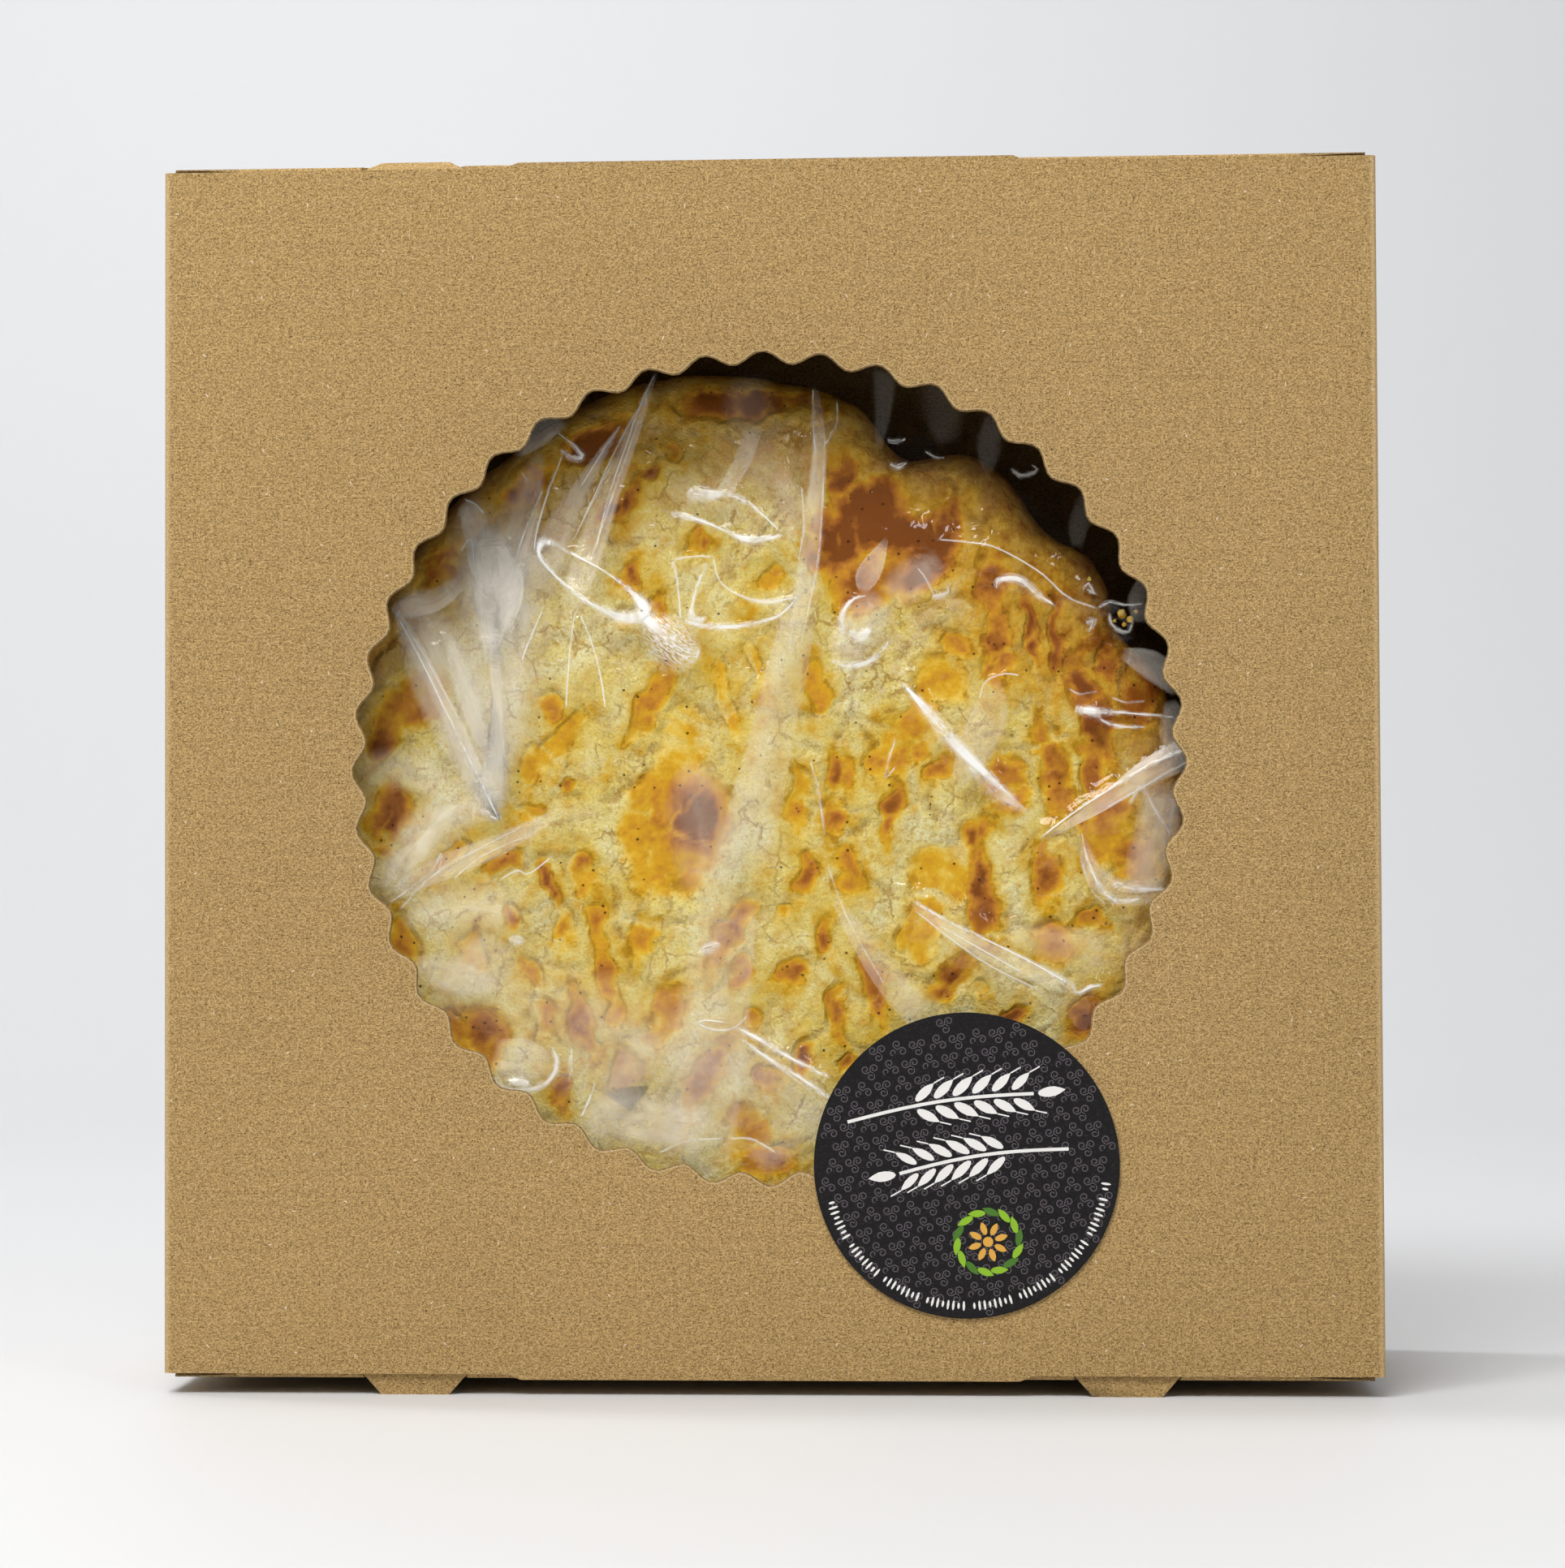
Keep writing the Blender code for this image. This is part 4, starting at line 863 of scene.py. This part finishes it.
def face_tint(face):
    """Which tint a face gets: 0 plain, 1 a cut edge paled as painted highlight, 2 inner faces darkened as
    painted shade.
    """
    middle, normal = face.center, face.normal
    in_panel = FRONT - 0.1 * MM < middle.y < FRONT + BOARD
    at_window = math.hypot(middle.x, middle.z - WINDOW_HEIGHT) < WINDOW_RADIUS + 2 * MM
    at_end = abs(normal.z) > 0.95 and not LOWER_EDGE + MM < middle.z < UPPER_EDGE - MM
    # Window cut faces: paled at the front as a painted highlight, darkened behind it as painted shade
    if in_panel and at_window and abs(normal.y) < 0.99:
        return 2 if middle.y > FRONT + 0.1 * MM else 1
    if in_panel and at_end and abs(normal.y) < 0.95:
        return 1
    # Faces that look into the box are darkened as painted shade of its dim inside
    looks_in = normal.dot(middle - Vector((0, 0, WINDOW_HEIGHT))) < 0
    return 2 if looks_in and max(abs(part) for part in normal) > 0.95 else 0


def make_carton():
    """The folded board, copied from its solid, with a pressed rim at the window and its own flat pattern."""
    carton = new_object("carton_board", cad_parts["carton"].data.copy())
    make_active(carton)
    bpy.ops.object.mode_set(mode="EDIT")
    clean_mesh()
    edit_edges(carton, at_window_rim)
    bpy.ops.mesh.bevel(offset=PRESSED_EDGE, segments=3, affect="EDGES")
    bpy.ops.mesh.select_all(action="SELECT")
    bpy.ops.mesh.quads_convert_to_tris(ngon_method="BEAUTY")
    bpy.ops.object.mode_set(mode="OBJECT")
    flat_pattern(carton.data)
    # Plain board, a pale tint as painted highlight on cut edges, and a dark tint as painted shade inside
    boards = [
        kraft_board("kraft_board"),
        kraft_board("kraft_board_cut_edge_painted_highlight", "dcc49a"),
        kraft_board("kraft_board_inner_side_painted_shade", "2e2012"),
    ]
    dress(carton, "carton_board", boards, "carton", "carton")
    for face in carton.data.polygons:
        face.material_index = face_tint(face)
    make_active(carton)
    bpy.ops.object.shade_smooth_by_angle(angle=math.radians(35))


# Cake


def cake_relief(across_up):
    """Height of the crackled top, and the shader's numbers: how browned, smooth and torn it is."""
    flat = np.c_[across_up, np.zeros(len(across_up))]
    warped = across_up.copy()
    for axis, shift in ((0, 3.1), (1, 9.7)):
        warped[:, axis] += RAGGED_EDGE * grain(flat, 6 * MM, 4, shift)
    # Glazed patches, whose colour fades into the dough round them
    glaze, bake = np.zeros(len(flat)), np.zeros(len(flat))
    for x, y, length, width, angle, dark in PATCHES:
        turn = math.radians(angle)
        dx, dy = warped[:, 0] - x * MM, warped[:, 1] - y * MM
        along = (dx * math.cos(turn) + dy * math.sin(turn)) / (length * MM / 2)
        aside = (-dx * math.sin(turn) + dy * math.cos(turn)) / (width * MM / 2)
        reach = np.hypot(along, aside)
        glaze = np.maximum(glaze, ease((1.45 - reach) / 0.95))
        faded = ease(1.15 - (reach - 0.7) * width * MM / 2 / HALO_WIDTH)
        bake = np.maximum(bake, faded * (0.34 + 0.80 * dark * ease(1.15 - 0.85 * reach)))
    # Cracks in two sizes, and the wide tears
    torn = np.c_[warped, flat[:, 2]]
    coarse = 1 - ease(cells(torn, 13 * MM) / 0.13)
    coarse *= ease(0.6 + 1.5 * grain(flat, 14 * MM, 2, 31.0))
    fine = 1 - ease(cells(torn * (1.5, 0.8, 1), 7 * MM, 4.0) / 0.16)
    fine *= ease(0.4 + 1.8 * grain(flat, 9 * MM, 2, 7.0))
    bake *= 1 - 0.5 * np.maximum(coarse, 0.6 * fine)
    tear = np.zeros(len(flat))
    for line in TEARS:
        away, along = line_reach(warped, line)
        tear = np.maximum(tear, ease(1 - away / TEAR_REACH) * ease(0.3 + 6 * np.minimum(along, 1 - along)))
    tear *= ease(0.75 + 1.4 * grain(flat, 4 * MM, 2, 40.0))
    # Crags of dough, sunk where it is torn, cracked or glazed
    crags = grain(flat, 9 * MM) + 0.5 * grain(flat, 3.9 * MM) + 0.35 * grain(flat, 1.9 * MM, 3, 5.0)
    height = CRAG_HEIGHT * crags * (1 - 0.6 * glaze) - TEAR_DEPTH * tear
    height -= (0.5 * coarse + 0.3 * fine) * MM * (1 - 0.5 * glaze)
    height -= GLAZE_DEPTH * glaze
    # torn also marks the cracks, where the shader's darker tint is partly painted shade
    return height, {"bake": bake, "glaze": glaze, "torn": np.maximum(tear, 0.5 * np.maximum(coarse, fine))}


def rim_radius(points):
    """The cake's uneven outline, at the angle of each point."""
    away = np.maximum(np.hypot(points[:, 0], points[:, 1]), 1e-9)
    around = np.c_[points[:, 0] / away, points[:, 1] / away, np.zeros(len(points))]
    wobble = grain(around, 1 / 2.5) + 0.6 * grain(around, 1 / 9, 2)
    angle = np.degrees(np.arctan2(points[:, 1], points[:, 0]))
    outline = CAKE_RADIUS * (1 + 0.007 * wobble)
    for middle, half_width, depth in RIM_DENTS:
        outline += depth * MM * np.exp(-(((angle - middle) / half_width) ** 2))
    return outline


def rim_crust(top):
    """How browned the top is towards its rim: in a wider band above, and darkest at the upper right."""
    x, y, away = top[:, 0], top[:, 1], top[:, 2]
    upper = ease((y - 15 * MM) / (45 * MM))
    scorched = ease(x / (35 * MM)) * ease(y / (30 * MM))
    start = (59 - 24 * np.maximum(upper, scorched)) * MM
    return ease((away - start) / (FULLY_BROWN - start)) * (1 - 0.22 * upper + 0.24 * scorched)


def make_cake():
    """The cake: a fine disc for its top, a rounded rim, a crusty side and a flat base."""
    cake, count = round_grid(CAKE_CUTS, CAKE_RADIUS)
    side_rows = [(0.9995, 1.0)] * 4 + [(0.998, 1.6)] * 8 + [(0.992, 1.2)] * 2
    base_rows = [(0.985, 0.4), (0.97, 0.0), (0.8, 0.0), (0.6, 0.0), (0.3, 0.0)]
    extrude_border(cake, side_rows + base_rows)
    bpy.ops.mesh.edge_face_add()
    bpy.ops.object.mode_set(mode="OBJECT")
    points = coordinates(cake.data)
    top, below = slice(count), slice(count, None)
    outline = rim_radius(points) / CAKE_RADIUS
    points[:, :2] *= outline[:, None]
    away = np.hypot(points[:, 0], points[:, 1]) / outline
    # The top, rounded down towards its rim
    height, shades = cake_relief(points[top, :2])
    past = np.clip((away[top] - CAKE_RADIUS + RIM_ROUNDING) / RIM_ROUNDING, 0, 1)
    points[top, 2] += height * (1 - 0.5 * past) - RIM_ROUNDING * (1 - np.sqrt(1 - ROUNDED * past**2))
    # The side and base, from the rim's end down, with a crusty wall
    border_drop = RIM_ROUNDING * (1 - math.sqrt(1 - ROUNDED))
    depth = points[below, 2] * (CAKE_THICKNESS - border_drop) / -points[:, 2].min()
    points[below, 2] = depth - border_drop
    pushed = 0.6 * MM * grain(points[below], 6 * MM, 4)
    side_share = ease((away[below] - 0.9 * CAKE_RADIUS) / (5 * MM))
    points[below, :2] *= (1 + pushed * side_share / CAKE_RADIUS)[:, None]
    put_coordinates(cake.data, points)
    shades = {name: np.pad(values, (0, len(points) - count)) for name, values in shades.items()}
    crust = np.full(len(points), 0.8)
    crust[top] = rim_crust(np.c_[points[top, :2], away[top]])
    put_attributes(cake.data, **shades, crust=crust)
    cake.data.transform(CAKE_AXES)
    make_active(cake)
    bpy.ops.object.shade_smooth_by_angle(angle=math.radians(60))
    dress(cake, "butter_cake", [baked_dough()], "cake", "cake")


def joined(parts):
    """Makes one object of many."""
    make_active(parts[0])
    for part in parts:
        part.select_set(True)
    bpy.ops.object.join()
    return bpy.context.object


def make_crumbs():
    """A few crumbs that broke off and lie under the film."""
    crumbs = []
    for number, (x, y, size) in enumerate(CRUMBS):
        deselect()
        bpy.ops.mesh.primitive_ico_sphere_add(subdivisions=3, radius=size * MM / 2)
        crumb = bpy.context.object
        points = coordinates(crumb.data)
        points *= 1 + 0.5 * grain(points, size * 0.6 * MM, 3, 0.7 * number)[:, None]
        put_coordinates(crumb.data, points + np.array((x * MM, y * MM, CRUMB_LIFT)))
        crumbs.append(crumb)
    heap = joined(crumbs)
    put_attributes(heap.data, bake=0.35)
    heap.data.transform(CAKE_AXES)
    bpy.ops.object.shade_smooth()
    dress(heap, "loose_crumbs", [bpy.data.materials["baked_butter_dough"]], "cake")


# Film


def film_height(across_up):
    """How far the film stands off the cake's face at each place."""
    flat = np.c_[across_up, np.zeros(len(across_up))]
    lift = np.zeros(len(flat))
    for start, end, half_width, height in FOLDS:
        reach = stroke_reach(across_up, start, end, half_width * MM)
        lift = np.maximum(lift, height * MM * ease(1 - reach))
    for shine, run in CREASES:
        away, along = line_reach(across_up, run)
        taper = np.minimum(1, 5 * np.minimum(along, 1 - along) + 0.2)
        lift += CREASE_LIFT * shine * taper * np.clip(1 - away / CREASE_REACH, 0, 1)
    ripple = 0.9 * np.abs(grain(flat, 14 * MM, 1, 2.0)) + 0.45 * np.abs(grain(flat, 6.5 * MM, 2, 6.0))
    away = np.hypot(across_up[:, 0], across_up[:, 1])
    return FILM_OFF_TOP + lift + RIPPLE_HEIGHT * ripple - FILM_DIP * (away / CAKE_RADIUS) ** 6


def film_haze(points):
    """How cloudy the single sheet is: least at the upper right, most where it bunches low on the side."""
    slack = 0.5 + 0.5 * grain(points, 16 * MM, 3, 12.0)
    left, low = ease(-points[:, 0] / (60 * MM)), ease((-points[:, 1] - 20 * MM) / (50 * MM))
    return 0.012 * slack * slack + 0.06 * left * slack + 0.12 * low * slack


def finish_film(thing, name, material, *nodes):
    """Moves film from the cake's axes to its place, behind the front board and over the bottom flaps."""
    thing.data.transform(CAKE_AXES)
    points = coordinates(thing.data)
    points[:, 1] = np.maximum(points[:, 1], FRONT + BOARD + BEHIND_PANEL)
    points[:, 2] = np.maximum(points[:, 2], LOWER_EDGE + BOARD + OVER_FLAP)
    put_coordinates(thing.data, points)
    make_active(thing)
    bpy.ops.object.shade_smooth()
    dress(thing, name, [material], "film", *nodes)


def make_film():
    """The wrap: a fine crumpled sheet over the cake's top and side, turned in behind it."""
    film, count = round_grid(FILM_CUTS, FILM_RADIUS)
    rows = [(1.035, 1.2), (1.016, 3.0), (1.008, 5.0), (1.0, 6.0), (0.995, 6.0)]
    rows += [(0.985, 6.2), (0.93, 0.6), (0.93, 0.2), (0.96, 0.0)]
    extrude_border(film, rows)
    bpy.ops.object.mode_set(mode="OBJECT")
    points = coordinates(film.data)
    put_attributes(film.data, haze=film_haze(points))
    points[:count, 2] = film_height(points[:count, :2])
    # Round the cake's side the film stands off, and most below, where it bunches
    side = points[count:]
    down = np.remainder(np.arctan2(side[:, 1], side[:, 0]) + math.pi / 2 + math.pi, math.tau) - math.pi
    bunch = BUNCH_DEPTH * np.exp(-((down / math.radians(38)) ** 2))
    share = np.sin(np.clip(-side[:, 2] / (28 * MM), 0, 1) * math.pi) ** 0.6
    side[:, 2] += FILM_OFF_TOP - FILM_DIP
    loose = LOOSE_DEPTH * (1 + grain(side, 7 * MM, 2, 21.0))
    swell = np.maximum(rim_radius(side) - CAKE_RADIUS, 0)
    stretch = 1 + (share * (bunch + loose) + swell) / np.hypot(side[:, 0], side[:, 1])
    side[:, :2] *= stretch[:, None]
    put_coordinates(film.data, points)
    finish_film(film, "wrap_film", clear_film(), "film")


def smooth_run(run, part):
    """Places and directions on a smooth curve through a run of points, at parts of it from 0 to 1."""
    steps = len(run) - 1
    knots = np.array([run[0], *run, run[-1]], float)
    at = np.minimum((part * steps).astype(int), steps - 1)
    u = (part * steps - at)[:, None]
    a, b, c, d = (knots[at + i] for i in range(4))
    place = b + 0.5 * u * (c - a + u * (2 * a - 5 * b + 4 * c - d + u * (3 * b - a - 3 * c + d)))
    way = 0.5 * (c - a + u * (4 * a - 10 * b + 8 * c - 2 * d + 3 * u * (3 * b - a - 3 * c + d)))
    return place, way[:, :2] / np.linalg.norm(way[:, :2], axis=1)[:, None]


def film_strip(run, columns, level, crown):
    """A strip that lies on the film along a run of (across, up, half width), with its own coordinates."""
    length = sum(math.dist(a[:2], b[:2]) for a, b in zip(run, run[1:])) * MM
    rows = max(6, round(length / (1.0 * MM)))
    deselect()
    bpy.ops.mesh.primitive_grid_add(x_subdivisions=rows, y_subdivisions=columns, size=2)
    strip = bpy.context.object
    points = coordinates(strip.data)
    part, reach = (points[:, 0] + 1) / 2, points[:, 1].copy()
    place, way = smooth_run(run, part)
    half = np.maximum(place[:, 2], 0.05) * MM
    points[:, 0] = place[:, 0] * MM - way[:, 1] * reach * half
    points[:, 1] = place[:, 1] * MM + way[:, 0] * reach * half
    points[:, 2] = film_height(points[:, :2]) + level + crown * half * (1 - reach * reach)
    put_coordinates(strip.data, points)
    put_attributes(strip.data, reach=reach, along=part * length, half=half)
    return strip, part


def make_veils():
    """The folded parts of the film, one milky strip for each fold, laid on the sheet one over the other."""
    strips = []
    for number, (cloudy, soft_left, soft_right, run) in enumerate(VEILS):
        strip, part = film_strip(run, 12, VEIL_LEVEL + VEIL_STEP * number, 0.03)
        cloud = cloudy * ease(np.minimum(part, 1 - part) / 0.22 + 0.03)
        put_attributes(strip.data, cloud=cloud, soft_left=soft_left, soft_right=soft_right)
        strips.append(strip)
    finish_film(joined(strips), "film_folds", doubled_film())


def make_crease_highlights():
    """Painted highlights on the film's hard creases, each a thin crowned strip that tapers, with room for
    sparkle.
    """
    strips = []
    for shine, run in CREASES:
        wider = [(x, y, 2 * half) for x, y, half in run]
        strip, part = film_strip(wider, 6, CREASE_LEVEL, 0.15)
        put_attributes(strip.data, shine=shine * ease(np.minimum(part, 1 - part) / 0.08 + 0.1))
        strips.append(strip)
    finish_film(joined(strips), "film_crease_highlights", painted_crease_highlight())


# Label


def make_label_disc():
    """The die-cut disc of black label paper, with the white core showing at its cut edge."""
    deselect()
    bpy.ops.mesh.primitive_cylinder_add(
        vertices=192, radius=LABEL_RADIUS, depth=LABEL_THICKNESS, location=(0, 0, LABEL_THICKNESS / 2)
    )
    disc = bpy.context.object
    settle(disc)
    for face in disc.data.polygons:
        face.select = face.normal.z > 0.9
    bpy.ops.object.mode_set(mode="EDIT")
    bpy.ops.mesh.select_mode(type="FACE")
    bpy.ops.mesh.inset(thickness=PALE_EDGE)
    bpy.ops.object.mode_set(mode="OBJECT")
    pale_from = LABEL_RADIUS - PALE_EDGE - 0.08 * MM
    pale = [int(math.hypot(*face.center[:2]) > pale_from) for face in disc.data.polygons]
    disc.data.transform(LABEL_AXES)
    black = print_on_paper("black_satin_print", "0f0c0e", speck=0.08)
    white = print_on_paper("label_paper_core", "d8d2c8", roughness=0.7)
    dress(disc, "label_disc", [black, white], "label", "label")
    disc.data.polygons.foreach_set("material_index", pale)


def printed(name, patches, material, level):
    """One piece of print: flat patches, each a loop of (x, y) in mm, on the first or second level."""
    drawing = bpy.data.curves.new(name, "CURVE")
    drawing.dimensions = "2D"
    drawing.fill_mode = "BOTH"
    drawing.extrude = INK / 2
    for outline in patches:
        loop = drawing.splines.new("POLY")
        loop.points.add(len(outline) - 1)
        loop.points.foreach_set("co", [n for x, y in outline for n in (x * MM, y * MM, 0, 1)])
        loop.use_cyclic_u = True
    make_active(new_object(name, drawing))
    bpy.ops.object.convert(target="MESH")
    bpy.ops.object.mode_set(mode="EDIT")
    clean_mesh()
    bpy.ops.mesh.normals_make_consistent(inside=False)
    bpy.ops.object.mode_set(mode="OBJECT")
    thing = bpy.context.object
    thing.data.transform(Matrix.Translation((0, 0, LABEL_THICKNESS + (level - 0.5) * INK)))
    thing.data.transform(LABEL_AXES)
    dress(thing, name, [material], "label")


def leaf(x, y, length, width, angle, steps=14, point=0.75):
    """A grain or leaf: an oval drawn to a soft point at its far end."""
    turn = math.radians(angle)
    outline = []
    for i in range(steps):
        a = math.tau * i / steps
        u = 0.5 * length * math.cos(a)
        v = 0.5 * width * math.sin(a) * (1 - point * max(0.0, math.cos(a)) ** 2)
        turned = (u * math.cos(turn) - v * math.sin(turn), u * math.sin(turn) + v * math.cos(turn))
        outline.append((x + turned[0], y + turned[1]))
    return outline


def ribbon(line, width):
    """A stroke of print along a line, as one outline."""
    left, right = [], []
    for i, (x, y) in enumerate(line):
        (x1, y1), (x2, y2) = line[max(i - 1, 0)], line[min(i + 1, len(line) - 1)]
        run = math.hypot(x2 - x1, y2 - y1)
        nx, ny = -(y2 - y1) / run * width / 2, (x2 - x1) / run * width / 2
        left.append((x + nx, y + ny))
        right.append((x - nx, y - ny))
    return left + right[::-1]


def whorl(x, y, start):
    """A small threefold spiral, an old folk pattern."""
    arms = []
    for arm in range(3):
        lead = math.radians(start + 120 * arm)
        cx, cy = x + 0.86 * math.cos(lead), y + 0.86 * math.sin(lead)
        line = [(x, y)]
        for i in range(10):
            part = i / 9
            a = lead + 0.85 * math.pi - math.tau * 1.15 * part
            reach = 0.72 * (1 - 0.66 * part)
            line.append((cx + reach * math.cos(a), cy + reach * math.sin(a)))
        arms.append(ribbon(line, 0.18))
    return arms


def whorls():
    """Staggered rows of whorls all over the disc."""
    across, up = WHORL_SPACING
    patches = []
    for row in range(-8, 9):
        for column in range(-8, 9):
            x, y = across * column + (WHORL_STAGGER if row % 2 else 0.0), up * row
            if math.hypot(x, y) <= LABEL_RADIUS / MM - 1.5:
                patches += whorl(x, y, 90 if column % 2 else 30)
    return patches


def wheat(x, y, length, facing):
    """A wheat ear lying along the label, with its stem, paired grains and fine awns, none over another."""

    def stem(part):
        return x - facing * length * (0.5 - part), y + 1.1 * math.sin(math.pi * part) - 0.4

    patches = [ribbon([stem(0.0975 * i) for i in range(11)], 0.55)]
    for i in range(6):
        gx, gy = stem(0.36 + 0.1 * i)
        size = 1.0 - 0.04 * abs(i - 2)
        for side in (-1, 1):
            angle = 36 * side if facing > 0 else 180 - 36 * side
            turn = math.radians(angle)
            mx, my = gx + facing * 1.9, gy + side * 2.0
            patches.append(leaf(mx, my, 4.6 * size, 0.052 * length * size, angle))
            tip = (mx + 2.32 * size * math.cos(turn), my + 2.32 * size * math.sin(turn))
            end = (tip[0] + facing * 1.8, tip[1] + side * 0.7)
            patches.append(ribbon([tip, ((tip[0] + end[0]) / 2, (tip[1] + end[1]) / 2), end], 0.22))
    gx, gy = stem(1.0)
    patches.append(leaf(gx + facing * 2.2, gy, 4.6, 1.7, 0 if facing > 0 else 180))
    return patches


def rim_dashes():
    """Long and short dashes in groups along the label's lower rim."""
    dashes = []
    for i in range(74):
        angle = math.radians(187 + 157 * i / 73)
        if i % 9 != 8:
            x, y = DASH_RADIUS * math.cos(angle), DASH_RADIUS * math.sin(angle)
            dashes.append(leaf(x, y, 1.7 if i % 3 else 1.1, 0.42, math.degrees(angle), 8, 0.0))
    return dashes


def ring(count, start, radii, length, width, turn, **form):
    """Leaves or petals in a ring on the wreath's place."""
    leaves = []
    for i in range(count):
        angle = 360 * i / count + start
        x, y = radii[0] * math.cos(math.radians(angle)), radii[1] * math.sin(math.radians(angle))
        leaves.append(leaf(WREATH[0] + x, WREATH[1] + y, length, width, angle + turn, **form))
    return leaves


def make_label():
    """The round label: black paper, grey whorls, two white wheat ears, a rim of dashes and a wreath."""
    make_label_disc()
    leaves = ring(14, 0, (5.2, 5.0), 2.9, 1.2, 72)
    blossom = ring(8, 10, (2.3, 2.3), 2.2, 1.1, 0, steps=10, point=0.5)
    blossom.append(leaf(*WREATH, 1.7, 1.7, 0, 16, 0.0))
    printed("label_whorls", whorls(), print_on_paper("grey_print", "5c565b"), 1)
    white = print_on_paper("white_print", "f1efec")
    upper_ear, lower_ear = wheat(-2.4, 10.4, 32, 1), wheat(2.6, 0.6, 29, -1)
    printed("label_wheat", upper_ear + lower_ear, white, 2)
    printed("label_rim_dashes", rim_dashes(), white, 2)
    green = [one for i, one in enumerate(leaves) if i % 3]
    printed("label_wreath", green, print_on_paper("green_print", "8fbf2e"), 2)
    printed("label_wreath_dark", leaves[::3], print_on_paper("dark_green_print", "4c7a2a"), 2)
    printed("label_blossom", blossom, print_on_paper("ochre_print", "e2ab4a"), 2)


# Stage, light and camera


def make_stage():
    """A pale sheet that is the floor and sweeps up behind."""
    deselect()
    bpy.ops.mesh.primitive_plane_add(size=4, location=(0, -0.6, 0))
    sweep = bpy.context.object
    settle(sweep)
    edit_edges(sweep, lambda *ends: all(end.y > 1 for end in ends))
    bpy.ops.mesh.extrude_region_move(TRANSFORM_OT_translate={"value": (0, 0, 3)})
    edit_edges(sweep, lambda *ends: all(end.y > 1 and end.z < 0.1 for end in ends))
    bpy.ops.mesh.bevel(offset=0.8, segments=24, affect="EDGES")
    bpy.ops.object.mode_set(mode="OBJECT")
    bpy.ops.object.shade_smooth()
    material, add, shader = new_material("matt_white_paper")
    cloud = add("TexNoise", {"Vector": add("TexCoord", out="Object"), "Scale": 1.5})
    colour = tint(add, linear("dcdddf"), cloud, 1.0, linear("dfe0e2"))
    fill(shader, {"Base Color": colour, "Roughness": 0.6})
    sweep.name = "paper_sweep"
    sweep.data.materials.append(material)


def make_lights():
    """A large soft light above on the left, smaller ones for fill, glints and backdrop, and a pale room."""
    cake, backdrop = (0, 0, 0.1), (-0.35, 1.35, 1.3)
    for name, place, width, height, power, hue, target in (
        ("softbox", (-0.22, -0.56, 0.88), 0.6, 0.4, 7.9, "fffefc", cake),
        ("side_fill", (1.1, -0.9, 0.6), 0.8, 0.8, 1.0, "f9fcff", cake),
        ("strip_left", (-0.55, -0.75, 0.75), 0.08, 0.6, 0.9, "ffffff", cake),
        ("strip_right", (0.5, -0.7, 0.85), 0.08, 0.5, 0.8, "ffffff", cake),
        ("backdrop_light", (-0.55, 0.17, 1.9), 1.2, 0.3, 26.5, "ffffff", backdrop),
    ):
        data = bpy.data.lights.new(name, "AREA")
        data.shape = "RECTANGLE"
        data.size, data.size_y = width, height
        data.energy = power
        data.color = linear(hue)[:3]
        lamp = new_object(name, data)
        lamp.location = place
        lamp.rotation_euler = (Vector(target) - lamp.location).to_track_quat("-Z", "Y").to_euler()
    world = bpy.data.worlds.new("pale_room")
    bpy.context.scene.world = world
    world.use_nodes = True
    # The room is dim behind the camera, so that the film mirrors little of it
    add = partial(add_node, world.node_tree)
    forward = add("SeparateXYZ", [add("TexCoord", out="Generated")], "Y")
    dim = add("MapRange", [forward, -0.95, -0.45, 0.04, 0.32])
    fill(world.node_tree.nodes["Background"], {"Color": linear("fffefd"), "Strength": dim})


def make_camera():
    """The photograph's view: level with the window, a little to its right, at a short tele distance."""
    data = bpy.data.cameras.new("camera")
    data.lens = 82.9
    data.sensor_width = 36.0
    camera = new_object("camera", data)
    yaw, pitch, roll = (math.radians(a) for a in (3.2, 1.52, -0.23))
    camera.matrix_world = (
        Matrix.Translation((0.0362, -0.6321, 0.0857))
        @ Matrix.Rotation(yaw, 4, "Z")
        @ Matrix.Rotation(math.pi / 2 + pitch, 4, "X")
        @ Matrix.Rotation(roll, 4, "Z")
    )
    bpy.context.scene.camera = camera


make_carton()
make_cake()
make_crumbs()
make_film()
make_veils()
make_crease_highlights()
make_label()
make_stage()
make_lights()
make_camera()
bpy.context.scene.view_settings.view_transform = "Standard"
